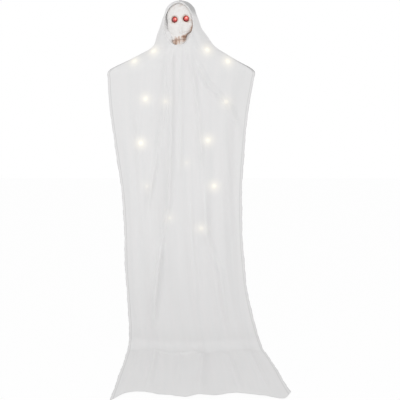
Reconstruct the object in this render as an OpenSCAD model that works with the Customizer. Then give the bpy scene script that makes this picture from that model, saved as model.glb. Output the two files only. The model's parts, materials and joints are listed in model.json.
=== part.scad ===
// Life-size hanging ghost: a skull in a sheer hood on a spine tube, two arm rods that hold
// the robe out, a string of warm lights inside the cloth and a battery box on the spine.
// Origin at the centre of the hanging hole, front towards -Y, sizes in millimetres.

/* [Hanger] */
// Diameter of the hanging hole
hanger_hole_d = 9; // [6:0.5:12]
// Thickness of the hanger plate
hanger_plate_t = 3; // [2:0.5:6]
// Rim of the hanger plate round the hole
hanger_rim = 4; // [3:0.5:6]
// Height of the hanger collar that sits on the tube
hanger_collar_h = 4; // [3:0.5:6]
// Length of the hanger stud inside the tube
hanger_stud_len = 26; // [16:1:40]
// Diameter of the cross pin through tube and stud
hanger_pin_d = 2.5; // [2:0.25:3]
// Height of the hanging hole above the crown of the skull
hanger_rise = 24; // [22:1:34]

/* [Spine] */
// Outer diameter of the spine tube
spine_d = 10; // [8:0.5:12]
// Wall of the spine tube
spine_wall = 1.5; // [1:0.25:2]
// Depth of the tube's lower end below the hanging hole
spine_end = 402; // [392:1:430]
// Outer diameter of the collar under the skull
collar_d = 22; // [18:1:28]
// Height of the collar under the skull
collar_h = 9; // [7:0.5:14]
// Diameter of the set screws
set_screw_d = 4; // [3:0.5:5]

/* [Skull] */
// Height from the crown to the upper gum
skull_h = 180; // [172:1:190]
// Greatest width of the cranium
skull_w = 140; // [132:1:148]
// Depth of the face in front of the shell joint
face_d = 82; // [76:1:90]
// Depth of the cranium behind the shell joint
cranium_d = 90; // [84:1:96]
// Distance of the shell joint in front of the spine
joint_y = 14; // [12:1:16]
// Wall of the skull shells
skull_wall = 3; // [2.5:0.25:4]
// Turn of the head at rest towards +X, in degrees
head_yaw = -2; // [-15:1:15]
// Lean of the head at rest towards +X, in degrees
head_roll = -4; // [-6:1:6]
// Outer diameter of the bearing bushes
bush_d = 15; // [14:0.5:18]
// Diameter of the bush flanges
bush_flange_d = 22; // [20:1:26]
// Thickness of the bush flanges
bush_flange_t = 2.5; // [2:0.5:4]

/* [Face] */
// Distance between the eye centres
eye_gap = 55; // [52:1:62]
// Depth of the eyes below the crown
eye_drop = 97; // [92:1:102]
// Diameter of an eye lens
lens_d = 28; // [22:0.5:29]
// Dome height of an eye lens
lens_dome = 8; // [6:0.5:10]
// Thickness of the lens rim
lens_rim = 2; // [1.5:0.25:3]
// Depth of the eye sockets
socket_depth = 13; // [10:0.5:16]
// Projection of the nose ridge
nose_h = 12; // [8:0.5:15]
// Projection of the brow
brow_h = 4.5; // [2:0.5:6]
// Projection of the cheekbones
cheek_h = 9; // [5:0.5:11]

/* [Jaw] */
// Height of the gap between the teeth
mouth_gap = 0.5; // [0.5:0.5:12]
// Sideways set of the mouth from the middle of the face
mouth_shift = -12; // [-14:1:14]
// Height of a tooth above its gum
tooth_h = 13; // [10:0.5:15]
// Number of teeth in each row
tooth_count = 12; // [10:2:14]
// Height of the jaw from the lower gum to the chin
jaw_h = 36; // [32:1:40]
// Width of the jaw at its hinge ends
jaw_w = 112; // [110:1:116]
// Thickness of the jaw
jaw_t = 8; // [6:0.5:9]
// Diameter of the jaw screws
jaw_screw_d = 3; // [2.5:0.25:4]

/* [Arms] */
// Room between an arm tip and the shoulder corner of the cloth
sleeve_room = 16; // [11:1:24]
// Depth of the arm pivots below the hanging hole
hub_drop = 284; // [282:1:288]
// Depth of the arm tips below the hanging hole
tip_drop = 358; // [354:1:366]
// Distance of each arm pivot from the spine
pivot_x = 24; // [22:1:30]
// Diameter of the arm rods
arm_d = 5; // [4:0.5:6]
// Diameter of the ball tips
tip_d = 12; // [10:0.5:13]
// Diameter of the pivot pins
pivot_pin_d = 5; // [4:0.5:6]
// Outer diameter of the pivot eyes
pivot_eye_d = 14; // [12:0.5:16]
// Height of the pivot eyes
pivot_eye_h = 10; // [8:0.5:12]
// Outer diameter of the hub
hub_d = 24; // [20:1:28]
// Thickness of the hub's fork plates
fork_t = 4; // [3:0.5:6]
// Width of the hub's fork plates
fork_w = 16; // [14:1:20]

/* [Robe] */
// Width of the cloth at the neck
neck_w = 352; // [340:2:364]
// Depth of the neck seam below the hanging hole
neck_drop = 254; // [252:1:258]
// Width of the cloth at the shoulder corners
shoulder_w = 712; // [704:2:730]
// Depth of the shoulder corners below the hanging hole
shoulder_drop = 352; // [346:1:356]
// Width of the cloth at the waist
waist_w = 598; // [560:2:640]
// Width of the cloth where it reaches the floor
floor_w = 690; // [640:2:700]
// Width of the hem
hem_w = 750; // [720:2:780]
// Depth of the floor below the hanging hole
floor_drop = 1752; // [1700:2:1800]
// Radius of the bend where the cloth meets the floor
bend_r = 60; // [40:2:90]
// Length of the front panel that lies on the floor
front_train = 550; // [450:5:600]
// Length of the back panel that lies on the floor
back_train = 330; // [250:5:420]
// Share by which the back panel narrows towards its hem
back_taper = 0.09; // [0:0.01:0.15]
// Largest share by which the front hem waves out or in along the floor
hem_wave = 0.08; // [0:0.01:0.12]
// Sideways sweep of the front hem towards +X
hem_sweep = 102; // [60:2:120]
// Sideways sweep where the cloth reaches the floor
floor_sweep = 74; // [30:2:80]
// Depth of the front panel at the neck
front_neck_d = 104; // [102:1:112]
// Depth of the front panel at the floor
front_floor_d = 58; // [50:1:66]
// Depth of the back panel at the neck
back_neck_d = 86; // [84:1:92]
// Depth of the back panel at the floor
back_floor_d = 50; // [44:1:58]
// Depth of the main folds
fold_depth = 17; // [8:1:22]
// Modelled thickness of the cloth
cloth_t = 1.6; // [1.2:0.1:2]

/* [Hood] */
// Gap between the crown of the skull and the hood
hood_gap = 2; // [1.5:0.25:4]
// Width of the hood over the cranium
hood_w = 166; // [160:2:172]
// Depth of the hood in front of the spine
hood_front = 102; // [100:1:110]
// Depth of the hood behind the spine
hood_back = 86; // [84:1:92]
// Width of the face opening
opening_w = 142; // [130:2:148]
// Depth of the top edge of the opening below the crown
opening_top = 17; // [14:1:24]
// Sideways shift of the opening
opening_x = -8; // [-14:1:0]

/* [Lights] */
// Diameter of the light bulbs
bulb_d = 5; // [4:0.5:6]
// Length of the bulb lens
bulb_len = 8; // [6:0.5:12]
// Length of the bulb sleeve
sleeve_len = 9; // [7:0.5:12]
// Diameter of the light wires
wire_d = 1.6; // [1.2:0.1:2]
// Gap between the light string and the cloth
wire_gap = 0.7; // [0.5:0.1:0.9]
// Diameter of the eye lights
eye_led_d = 5; // [4:0.5:6]

/* [Battery box] */
// Diameter of a cell
cell_d = 14.5; // [14:0.1:14.6]
// Length of a cell without its nub
cell_len = 49.5; // [48:0.5:51]
// Number of cells
cell_count = 3; // [2:1:3]
// Wall of the battery box
case_wall = 2.2; // [2:0.1:3]
// Height of the switch bay
switch_bay_h = 15; // [13:0.5:18]
// Depth of the box's top below the hanging hole
case_drop = 316; // [314:1:322]
// Thickness of the battery door
door_t = 1.6; // [1.4:0.1:2]
// Travel of the switch knob
switch_travel = 4; // [3:0.5:5]
// Width of the switch knob
knob_w = 3; // [2.5:0.25:4]

/* [Hidden] */
$fn = 48;

// Clearances: radius of a running or push fit, flat faces of neighbours, loose passage
fit = 0.05;
face_gap = 0.3;
loose = 0.4;
cut = 1;

// Hanger and spine places, all as depth below the hanging hole
hanger_r = hanger_hole_d / 2 + hanger_rim;
spine_top = hanger_r + hanger_collar_h;
spine_bore = spine_d - 2 * spine_wall;
hanger_step = 2;
hanger_pin_drop = spine_top + hanger_pin_d / 2 + spine_wall;
crown = hanger_rise;
base_t = 0.84;
base_trim = 0.05;
base_drop = crown + base_t * skull_h;
collar_drop = base_drop + bush_flange_t + face_gap;
eye_level = crown + eye_drop;
roll_level = crown + skull_h / 5;
bush_lip = 1;
crown_seat = skull_wall + 5;
lead_exit = eye_level + 8;
lead_hole_d = 4;
lead_entry = case_drop - 8;
lead_d = 1.4 * wire_d;

// Skull stations: share of the skull's height below the crown, share of the half size
dome_t = 0.42;
width_run = [[0.42, 1], [0.52, 0.96], [0.6, 0.95], [0.68, 0.95], [0.77, 0.93], [0.85, 0.82],
             [0.92, 0.64], [1, 0.56]];
face_run = [[0.42, 0.97], [0.5, 1], [0.62, 0.97], [0.75, 0.94], [0.88, 0.97], [1, 0.97]];
back_run = [[0.42, 1], [0.55, 0.97], [0.68, 0.86], [0.77, 0.72], [0.84, 0.62], [0.9, 0.56]];
flat_run = [[0.42, 0.85], [0.6, 0.65], [0.8, 0.5], [1, 0.45]];
face_rows = 30;
face_columns = 28;
back_rows = 20;
back_columns = 22;

// Relief of the face: distance from the middle, height above the eyes, half width, half height
brow_spot = [26, 21, 21, 7];
nostril_spot = [10, -62, 6, 7];
cheek_spot = [47, -29, 14, 11];
hollow_spot = [40, -66, 15, 17];
nostril_depth = 4;
hollow_depth = 6;
nose_half_w = 8;
nose_run = [10, -48, -60, -74];

// Tooth rows and jaw
gum = crown + skull_h;
upper_bite = gum + tooth_h;
lower_bite = upper_bite + mouth_gap;
lower_gum = lower_bite + tooth_h;
chin = lower_gum + jaw_h;
tooth_spread = 65;
tooth_step = 2 * tooth_spread / tooth_count;
tooth_w = 7.4;
molar_w = 9;
tooth_belly = 0.65;
tooth_sides = 8;
tooth_root = 3.4;
palate_t = 0.97;
tooth_inset = 3;
arch_flat = 0.45;
ramus_top = gum - 14;
ramus_foot = lower_gum - 10;
jaw_screw_drop = gum - 7;
jaw_screw_y = -joint_y - 16;
jaw_reach = 84;
ramus_turn = [56, 78];
border_turn = [22, 74];
jaw_plan = 0.95;
jaw_bite = 1;
jaw_slant = 5;
jaw_bevel = 1.5;
chin_h = 6;
chin_half = 18;
jaw_rows = 6;
jaw_columns = 22;

// Lens seats
lens_x = eye_gap / 2;
lens_neck_d = lens_d - 4;
holder_len = 7;

// Eye lights, and the points their wires and the lead pass
led_back = 0.5;
led_flange = 1;
leg_gap = 2.54;
leg_d = 0.6;
leg_len = 5;

// Arms and hub
arm_span = shoulder_w - 2 * sleeve_room;
rod_slope = atan2(tip_drop - hub_drop, arm_span / 2 - tip_d / 2 - pivot_x);
rod_len = (arm_span / 2 - tip_d / 2 - pivot_x) / cos(rod_slope);
fork_gap = pivot_eye_h + 2 * face_gap;
hub_h = fork_gap + 4 * fork_t;
tip_socket = tip_d * 0.7;
pin_head_t = 1.5;

// Battery box
bay_w = cell_count * (cell_d + loose);
contact_t = 0.5;
contact_rise = 2.4;
contact_w = cell_d * 0.84;
leaf_r = 4;
leaf_w = 6;
nub_h = 1;
nub_d = 5.5;
bay_h = cell_len + nub_h + 2 * (contact_t + contact_rise) + loose;
case_w = bay_w + 2 * case_wall;
case_h = bay_h + switch_bay_h + 3 * case_wall;
groove = 1;
lip_t = 1;
grip_w = 12;
grip_step = 3;
clip_t = 2.4;
case_front = spine_d / 2 + fit + clip_t / 2;
bay_front = case_front + case_wall;
bay_back = bay_front + cell_d + loose;
door_front = bay_back + face_gap;
case_back = door_front + door_t + 2 * fit + lip_t;
bay_top = case_drop + 2 * case_wall + switch_bay_h;
bay_bottom = bay_top + bay_h;
case_bottom = case_drop + case_h;
clip_h = 9;
clip_end = 6;
clip_mouth = spine_d * 0.84;
switch_floor = case_drop + case_wall + switch_bay_h;
switch_y = (bay_front + case_back) / 2;
knob_drop = case_drop + case_wall + 4.5;
knob_reach = 2.5;
knob_base_t = 1.3;
knob_step = 0.6;
board_t = 1.6;
cover_screw_d = 2;
cover_shank_d = 1.4;
cover_screw_len = 7;
cover_screw_drop = case_drop + case_wall + 4;
cover_t = 1.6;

// Places where the wires leave the box
wire_rise = 0.2;
lead_x = 5;
string_starts = [-14, 14, -5];
string_y = bay_front + 8;

// Cloth: lengths are measured down the panel from the neck seam
seam_gap = 0.3;
shoulder_run = shoulder_drop - neck_drop;
bend_start = floor_drop - bend_r - neck_drop;
bend_len = bend_r * PI / 2;
front_run = bend_start + bend_len + front_train;
back_run_len = bend_start + bend_len + back_train;
waist_run = 745;
neck_sweep = 17;
knee_run = bend_start - 290;
panel_columns = 24;
width_stations = [[0, neck_w / 2],
                  [shoulder_run * 0.5, mix(neck_w, shoulder_w, 0.5) / 2],
                  [shoulder_run, shoulder_w / 2],
                  [shoulder_run + 40, shoulder_w / 2 + 3],
                  [shoulder_run + 250, mix(waist_w, shoulder_w, 0.64) / 2],
                  [waist_run, waist_w / 2],
                  [knee_run, waist_w / 2 + 6],
                  [bend_start - 100, mix(waist_w, floor_w, 0.4) / 2],
                  [bend_start + bend_len, floor_w / 2],
                  [front_run, hem_w / 2]];
hem_run = [[-1, 0.94], [-0.82, -0.62], [-0.7, -1], [-0.4, -0.44], [-0.13, -0.2], [0.38, -0.78], [0.64, -0.12],
           [0.9, 0.6], [1, -1]];
front_sweep = [[0, neck_sweep], [shoulder_run, 4], [shoulder_run + 220, -8], [waist_run, 6], [knee_run, 24],
               [bend_start + bend_len, floor_sweep], [front_run, hem_sweep]];
back_sweep = [[0, neck_sweep], [shoulder_run, 4], [shoulder_run + 220, -8], [waist_run, 6], [knee_run, 24],
              [bend_start + bend_len, floor_sweep], [back_run_len, floor_sweep * 0.75]];
front_depth = [[0, front_neck_d], [120, front_neck_d - 16], [400, front_floor_d + 14],
               [bend_start, front_floor_d], [front_run, front_floor_d / 2]];
back_depth = [[0, back_neck_d], [120, back_neck_d - 14], [400, back_floor_d + 12],
              [bend_start, back_floor_d], [back_run_len, back_floor_d / 2]];
fold_stations = [[0, 0], [shoulder_run, 0.12], [shoulder_run + 250, 0.55], [waist_run, 0.85],
                 [knee_run, 1], [bend_start + bend_len, 0.6], [front_run, 0.45]];

// Hood stations: depth below the hood's top, share of the way from the crown to the neck
hood_top = crown - hood_gap - cloth_t;
hood_end = neck_drop - seam_gap;
hood_hole = spine_d / 2 + loose + cloth_t;
hood_columns = 32;
hood_width = [[0, 0], [0.01, 0.27], [0.06, 0.58], [0.15, 0.82], [0.26, 0.93], [0.38, 1.06], [0.55, 1.23],
              [0.71, 1.48], [0.88, 1.73], [0.95, 1.93], [1, neck_w / hood_w]];
hood_depth = [[0, 0], [0.01, 0.3], [0.06, 0.67], [0.14, 0.9], [0.25, 1], [0.4, 1.02],
              [0.7, 1.01], [1, 1]];
hood_flat = [[0, 0.5], [0.5, 0.5], [0.8, 0.65], [1, 1]];
hood_flare = 0.5;
opening_foot = neck_drop - 7;

// Light string: places of the bulbs across the cloth and below the hanging hole
left_lights = [[-128, 264], [-224, 314], [-168, 494], [-194, 707], [-166, 918]];
right_lights = [[130, 262], [230, 312], [222, 508], [134, 693], [164, 918], [102, 1125]];
back_lights = [[-70, 508], [30, 803], [-54, 1072]];
string_steps = 6;
head_steps = 3;
lead_steps = 3;
eye_wire_steps = 5;
string_sides = 8;
wire_across = [0.12, 1, 0.05];

// General functions
function mix(a, b, t) = a + (b - a) * t;
function clamp01(t) = min(1, max(0, t));
function ease(a, b, x) = let (t = clamp01((x - a) / (b - a))) t * t * (3 - 2 * t);
function spot(x, z, s) = exp(-pow((x - s[0]) / s[2], 2) - pow((z - s[1]) / s[3], 2));
function slope_at(s, i) =
    let (a = max(i - 1, 0), b = min(i + 1, len(s) - 1)) (s[b][1] - s[a][1]) / (s[b][0] - s[a][0]);

// Smooth curve through stations of [position, value]
function through(s, x) =
    x <= s[0][0] ? s[0][1] :
    x >= s[len(s) - 1][0] ? s[len(s) - 1][1] :
    let (i = max([for (k = [0 : len(s) - 2]) if (x >= s[k][0]) k]),
         h = s[i + 1][0] - s[i][0],
         t = (x - s[i][0]) / h,
         t2 = t * t,
         t3 = t2 * t)
    (2 * t3 - 3 * t2 + 1) * s[i][1] + (t3 - 2 * t2 + t) * h * slope_at(s, i)
    + (3 * t2 - 2 * t3) * s[i + 1][1] + (t3 - t2) * h * slope_at(s, i + 1);

// Closed sheet between an outer and an inner grid of points, seen from outside left to right
module thick_sheet(outer, inner) {
    rows = len(outer);
    columns = len(outer[0]);
    count = rows * columns;
    points = concat([for (row = outer) each row], [for (row = inner) each row]);
    skin = [for (i = [0 : rows - 2], j = [0 : columns - 2])
            let (a = i * columns + j, b = a + 1, d = a + columns, c = d + 1)
            each [[a, b, c], [a, c, d], [a + count, c + count, b + count],
                  [a + count, d + count, c + count]]];
    top = [for (j = [0 : columns - 2]) each rim_faces(j + 1, j, count)];
    foot = [for (j = [0 : columns - 2])
            each rim_faces((rows - 1) * columns + j, (rows - 1) * columns + j + 1, count)];
    left = [for (i = [0 : rows - 2]) each rim_faces(i * columns, (i + 1) * columns, count)];
    right = [for (i = [0 : rows - 2])
             each rim_faces((i + 2) * columns - 1, (i + 1) * columns - 1, count)];
    polyhedron(points, concat(skin, top, foot, left, right), convexity = 8);
}

function rim_faces(a, b, count) = [[a, b, b + count], [a, b + count, a + count]];

// Closed ring of cloth: as a sheet, with the last column joined to the first
module thick_ring(outer, inner) {
    rows = len(outer);
    columns = len(outer[0]);
    count = rows * columns;
    points = concat([for (row = outer) each row], [for (row = inner) each row]);
    skin = [for (i = [0 : rows - 2], j = [0 : columns - 1])
            let (a = i * columns + j, b = i * columns + (j + 1) % columns, d = a + columns, c = b + columns)
            each [[a, b, c], [a, c, d], [a + count, c + count, b + count],
                  [a + count, d + count, c + count]]];
    top = [for (j = [0 : columns - 1]) each rim_faces((j + 1) % columns, j, count)];
    foot = [for (j = [0 : columns - 1])
            each rim_faces((rows - 1) * columns + j, (rows - 1) * columns + (j + 1) % columns, count)];
    polyhedron(points, concat(skin, top, foot), convexity = 8);
}

// Round wire through points: a ring at each point, square to the way between its neighbours
module wire(points, d) {
    n = len(points);
    rings = [for (i = [0 : n - 1])
             let (way = points[min(i + 1, n - 1)] - points[max(i - 1, 0)],
                  along = way / norm(way),
                  side = cross(along, wire_across),
                  across = side / norm(side),
                  up = cross(across, along))
             each [for (k = [0 : string_sides - 1])
                   let (turn = 360 * k / string_sides)
                   points[i] + d / 2 * (cos(turn) * across + sin(turn) * up)]];
    walls = [for (i = [0 : n - 2], k = [0 : string_sides - 1])
             let (a = i * string_sides + k, b = i * string_sides + (k + 1) % string_sides,
                  c = b + string_sides, e = a + string_sides)
             each [[a, b, c], [a, c, e]]];
    start = [for (k = [1 : string_sides - 2]) [0, k + 1, k]];
    last = (n - 1) * string_sides;
    finish = [for (k = [1 : string_sides - 2]) [last, last + k, last + k + 1]];
    polyhedron(rings, concat(walls, start, finish), convexity = 8);
}

// Curve through hand-set points, with a set number of steps in each stretch
function curve_point(p, i, t) =
    let (a = p[max(i - 1, 0)], b = p[i], c = p[i + 1], d = p[min(i + 2, len(p) - 1)])
    0.5 * (2 * b + (c - a) * t + (2 * a - 5 * b + 4 * c - d) * t * t + (3 * b - a - 3 * c + d) * t * t * t);
function curve(p, steps) =
    concat([for (i = [0 : len(p) - 2], k = [0 : steps - 1]) curve_point(p, i, k / steps)], [p[len(p) - 1]]);

// Skull form: half sections at each height, with the face's relief laid on the front
function dome(t) = t >= dome_t ? 1 : sqrt(max(0, 1 - pow((dome_t - t) / dome_t, 2)));
function half_w(t) = skull_w / 2 * dome(t) * through(width_run, t);
function half_face(t) = face_d * dome(t) * through(face_run, t);
function half_back(t) = cranium_d * dome(t) * through(back_run, t);
function relief(x, rise) =
    let (side = abs(x),
         orbit = pow((side - lens_x) / (lens_d / 2 + 2.5), 2) + pow(rise / (lens_d / 2 + 1.5), 2),
         ridge = ease(nose_run[0], nose_run[1], rise) * (1 - ease(nose_run[2], nose_run[3], rise)))
    brow_h * spot(side, rise, brow_spot)
    - socket_depth * exp(-orbit * orbit)
    + nose_h * exp(-pow(x / nose_half_w, 2)) * ridge
    - nostril_depth * spot(side, rise, nostril_spot)
    + cheek_h * spot(side, rise, cheek_spot)
    - hollow_depth * spot(side, rise, hollow_spot);
function face_point(t, a, inset) =
    let (w = max(half_w(t) - inset, 0.4),
         d = max(half_face(t) - inset, 0.4),
         z = -crown - inset * (1 - t) - t * skull_h,
         x = w * sin(a) + mouth_shift * ease(base_drop, ramus_top, -z),
         front = pow(max(cos(a), 0), through(flat_run, t)),
         lift = relief(x, z + eye_level) * ease(0, 0.35, cos(a)))
    [x, -joint_y - d * front - lift, z];
function back_point(t, a, inset) =
    let (w = max(half_w(t) - inset, 0.4),
         d = max(half_back(t) - inset, 0.4),
         z = -crown - inset * (1 - t) - t * skull_h)
    [w * sin(a), -joint_y + d * pow(max(cos(a), 0), 0.9), z];
function crown_share(i, n, last) = last * (i < n * 0.4 ? 0.4 * (1 - cos(90 * i / (n * 0.4))) : i / n);
function face_grid(inset) =
    [for (i = [0 : face_rows])
     [for (j = [0 : face_columns])
      face_point(crown_share(i, face_rows, 1), -90 + 180 * j / face_columns, inset)]];
function back_grid(inset) =
    [for (i = [0 : back_rows])
     [for (j = [0 : back_columns])
      back_point(crown_share(i, back_rows, base_t + base_trim), 90 - 180 * j / back_columns, inset)]];
lens_seat = -joint_y - half_face(eye_drop / skull_h)
            * pow(cos(asin(lens_x / half_w(eye_drop / skull_h))), through(flat_run, eye_drop / skull_h))
            + socket_depth + 1;

// Places along the dental arch
function arch_point(a, w, d, drop) =
    [w * sin(a) + mouth_shift, -joint_y - d * pow(cos(a), arch_flat), -drop];
gum_w = half_w(1);
gum_d = half_face(1);

// Cloth form: panels hang from the neck seam, bend at the floor and run out along it
function fold_front(u, q) =
    0.46 * cos(360 * (1.55 * u + 0.1 + 0.1 * sin(360 * q)))
    + 0.34 * cos(360 * (2.45 * u + 0.36 - 0.3 * q))
    + 0.2 * cos(360 * (3.3 * u + 0.6 + 0.4 * q));
function fold_back(u, q) =
    0.48 * cos(360 * (1.7 * u + 0.42 - 0.12 * sin(300 * q)))
    + 0.32 * cos(360 * (2.6 * u + 0.1 + 0.25 * q))
    + 0.2 * cos(360 * (3.2 * u + 0.8 - 0.3 * q));
function panel_half(side, run) =
    through(width_stations, run) * (side < 0 ? 1 : 1 - back_taper * ease(knee_run, back_run_len, run));
function panel_sweep(side, run) = through(side < 0 ? front_sweep : back_sweep, run);
function panel_bulge(side, u, run) =
    through(side < 0 ? front_depth : back_depth, run) * (1 - u * u);
function panel_fold(side, u, run) =
    fold_depth * through(fold_stations, run) * (1 - pow(u, 6))
    * ((side < 0 ? fold_front(u, run / front_run) : fold_back(u, run / front_run)) + panel_lift(run));
function panel_lift(run) = ease(bend_start, bend_start + bend_len, run);
function bend_angle(run) = 90 * clamp01((run - bend_start) / bend_len);
function path_out(side, u, run) =
    bend_r * (1 - cos(bend_angle(run)))
    + max(0, run - bend_start - bend_len) * (1 + (side < 0 ? hem_wave * through(hem_run, u) : 0));
function path_drop(run) =
    run <= bend_start ? neck_drop + run : floor_drop - bend_r + bend_r * sin(bend_angle(run));
function cloth_point(side, u, run, inset) =
    let (b = bend_angle(run),
         out = cloth_t - inset + panel_fold(side, u, run))
    [panel_sweep(side, run) + panel_half(side, run) * u,
     side * (path_out(side, u, run) + seam_gap + panel_bulge(side, u, run) + out * cos(b)),
     -path_drop(run) + out * sin(b)];
function panel_rows(train) =
    concat([for (i = [0 : 5]) shoulder_run * i / 5],
           [for (i = [1 : 9]) mix(shoulder_run, bend_start, i / 9)],
           [for (i = [1 : 4]) bend_start + bend_len * i / 4],
           [for (i = [1 : 6]) bend_start + bend_len + train * i / 6]);
function panel_grid(side, train, inset) =
    [for (run = panel_rows(train))
     [for (j = [0 : panel_columns]) cloth_point(side, -side * (2 * j / panel_columns - 1), run, inset)]];

// A place on the inside of a panel's facets, clear of the cloth by a given distance
function panel_row_of(rows, run) = max([for (k = [0 : len(rows) - 2]) if (run >= rows[k]) k]);
function panel_corner(side, column, run, inset) =
    cloth_point(side, 2 * column / panel_columns - 1, run, inset);
function panel_across(side, column, share, run, inset) =
    mix(panel_corner(side, column, run, inset), panel_corner(side, column + 1, run, inset), share);
function on_panel(side, place, clear) =
    let (run = place[1] - neck_drop,
         rows = panel_rows(front_train),
         i = panel_row_of(rows, run),
         step = (run - rows[i]) / (rows[i + 1] - rows[i]),
         u = (place[0] - panel_sweep(side, run)) / panel_half(side, run),
         across = (u + 1) / 2 * panel_columns,
         column = floor(across),
         share = across - column,
         inset = cloth_t + clear)
    mix(panel_across(side, column, share, rows[i], inset),
        panel_across(side, column, share, rows[i + 1], inset), step);

// Hood form: closed rings from the hole at the crown to the neck seam
function hood_point(s, a, inset) =
    let (w = max(hood_hole - inset, hood_w / 2 * through(hood_width, s) - inset),
         shape = through(hood_depth, s),
         neck = ease(hood_flare, 1, s),
         front = mix(hood_front, front_neck_d + seam_gap + cloth_t, neck) * shape,
         back = mix(hood_back, back_neck_d + seam_gap + cloth_t, neck) * shape,
         depth = max(hood_hole - inset, (cos(a) > 0 ? front : back) - inset),
         round = pow(abs(cos(a)), 2 * through(hood_flat, s)))
    [w * sin(a) + neck_sweep * neck,
     -sign(cos(a)) * depth * round,
     -mix(hood_top, hood_end, s) - inset * (1 - ease(0.1, 0.3, s))];
hood_levels = [0, 0.01, 0.03, 0.07, 0.13, 0.21, 0.3, 0.4, 0.5, 0.6, 0.7, 0.8, 0.9, 1];
function hood_grid(inset) =
    [for (s = hood_levels) [for (j = [0 : hood_columns - 1]) hood_point(s, 360 * j / hood_columns, inset)]];

// Helpers for placing
module turned()
    rotate([0, 0, head_yaw]) translate([0, 0, -roll_level]) rotate([0, head_roll, 0])
        translate([0, 0, roll_level]) children();
module drill_y(d, len) rotate([90, 0, 0]) cylinder(d = d, h = len, center = true);
module drill_x(d, len) rotate([0, 90, 0]) cylinder(d = d, h = len, center = true);

module hanger_eye() color("gainsboro") {
    difference() {
        union() {
            drill_x(2 * hanger_r, hanger_plate_t);
            translate([-hanger_plate_t / 2, -hanger_r, -hanger_r - hanger_collar_h / 2])
                cube([hanger_plate_t, 2 * hanger_r, hanger_r + hanger_collar_h / 2]);
            translate([0, 0, -spine_top]) cylinder(d = spine_d + 2 * hanger_step, h = hanger_collar_h);
            translate([0, 0, -spine_top - hanger_stud_len])
                cylinder(d = spine_bore - 2 * fit, h = hanger_stud_len + cut);
        }
        drill_x(hanger_hole_d, hanger_plate_t + 2 * cut);
        translate([0, 0, -hanger_pin_drop]) drill_y(hanger_pin_d + 2 * fit, spine_d);
    }
}

module hanger_pin() color("silver")
    translate([0, 0, -hanger_pin_drop]) drill_y(hanger_pin_d, spine_d);

module spine_tube() color("silver") {
    difference() {
        translate([0, 0, -spine_end]) cylinder(d = spine_d, h = spine_end - spine_top);
        translate([0, 0, -spine_end - cut])
            cylinder(d = spine_bore, h = spine_end - spine_top + 2 * cut);
        translate([0, 0, -hanger_pin_drop]) drill_y(hanger_pin_d + 2 * fit, spine_d + 2 * cut);
        translate([0, -spine_d / 2, -lead_exit]) drill_y(lead_hole_d, spine_d);
        translate([0, spine_d / 2, -lead_entry]) drill_y(lead_hole_d, spine_d);
    }
}

module neck_collar() color("dimgray") {
    difference() {
        translate([0, 0, -collar_drop - collar_h]) cylinder(d = collar_d, h = collar_h);
        translate([0, 0, -collar_drop - collar_h - cut])
            cylinder(d = spine_d + 2 * fit, h = collar_h + 2 * cut);
        translate([0, collar_d / 2, -collar_drop - collar_h / 2])
            drill_y(set_screw_d + 2 * fit, collar_d);
    }
}

module set_screw(outer_d, drop) {
    reach = (outer_d - spine_d) / 2 - fit;
    translate([0, spine_d / 2 + fit + reach / 2, -drop]) difference() {
        drill_y(set_screw_d, reach);
        translate([0, reach / 2, 0]) drill_y(set_screw_d / 2, set_screw_d);
    }
}

module collar_screw() color("black") set_screw(collar_d, collar_drop + collar_h / 2);

module shoulder_hub() color("dimgray") {
    translate([0, 0, -hub_drop]) difference() {
        union() {
            cylinder(d = hub_d, h = hub_h, center = true);
            for (level = [-1, 1]) translate([0, 0, level * (fork_gap + fork_t) / 2]) {
                cube([2 * pivot_x, fork_w, fork_t], center = true);
                for (side = [-1, 1]) translate([side * pivot_x, 0, 0])
                    cylinder(d = fork_w, h = fork_t, center = true);
            }
        }
        cylinder(d = spine_d + 2 * fit, h = hub_h + 2 * cut, center = true);
        for (side = [-1, 1]) translate([side * pivot_x, 0, 0])
            cylinder(d = pivot_pin_d + 2 * fit, h = hub_h + 2 * cut, center = true);
        translate([0, hub_d / 2, 0]) drill_y(set_screw_d + 2 * fit, hub_d);
    }
}

module hub_screw() color("black") set_screw(hub_d, hub_drop);

module arm_pins() color("silver") {
    pin_h = fork_gap + 2 * fork_t;
    for (side = [-1, 1]) translate([side * pivot_x, 0, -hub_drop]) {
        cylinder(d = pivot_pin_d, h = pin_h, center = true);
        translate([0, 0, pin_h / 2]) cylinder(d = pivot_pin_d + 2 * pin_head_t, h = pin_head_t);
    }
}

module arm_rod(side) {
    translate([side * pivot_x, 0, -hub_drop]) difference() {
        union() {
            cylinder(d = pivot_eye_d, h = pivot_eye_h, center = true);
            rotate([0, 90 * side + rod_slope * side, 0]) cylinder(d = arm_d, h = rod_len);
        }
        cylinder(d = pivot_pin_d + 2 * fit, h = pivot_eye_h + 2 * cut, center = true);
        for (level = [-1, 1]) translate([0, 0, level * (pivot_eye_h / 2 + pivot_eye_d / 2)])
            cube([fork_w, fork_w, pivot_eye_d], center = true);
    }
}

module arm_tip(side) {
    translate([side * pivot_x, 0, -hub_drop])
        rotate([0, 90 * side + rod_slope * side, 0])
            translate([0, 0, rod_len]) difference() {
                sphere(d = tip_d);
                translate([0, 0, -tip_socket]) cylinder(d = arm_d + 2 * fit, h = tip_socket + fit);
            }
}

module left_arm_rod() color("silver") arm_rod(-1);
module right_arm_rod() color("silver") arm_rod(1);
module left_arm_tip() color("white") arm_tip(-1);
module right_arm_tip() color("white") arm_tip(1);

module bush(top, foot, flange_top) {
    difference() {
        union() {
            translate([0, 0, -foot]) cylinder(d = bush_d, h = foot - top);
            translate([0, 0, -flange_top - bush_flange_t])
                cylinder(d = bush_flange_d, h = bush_flange_t);
        }
        translate([0, 0, -foot - cut]) cylinder(d = spine_d + 2 * fit, h = foot - top + 2 * cut);
    }
}

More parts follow.
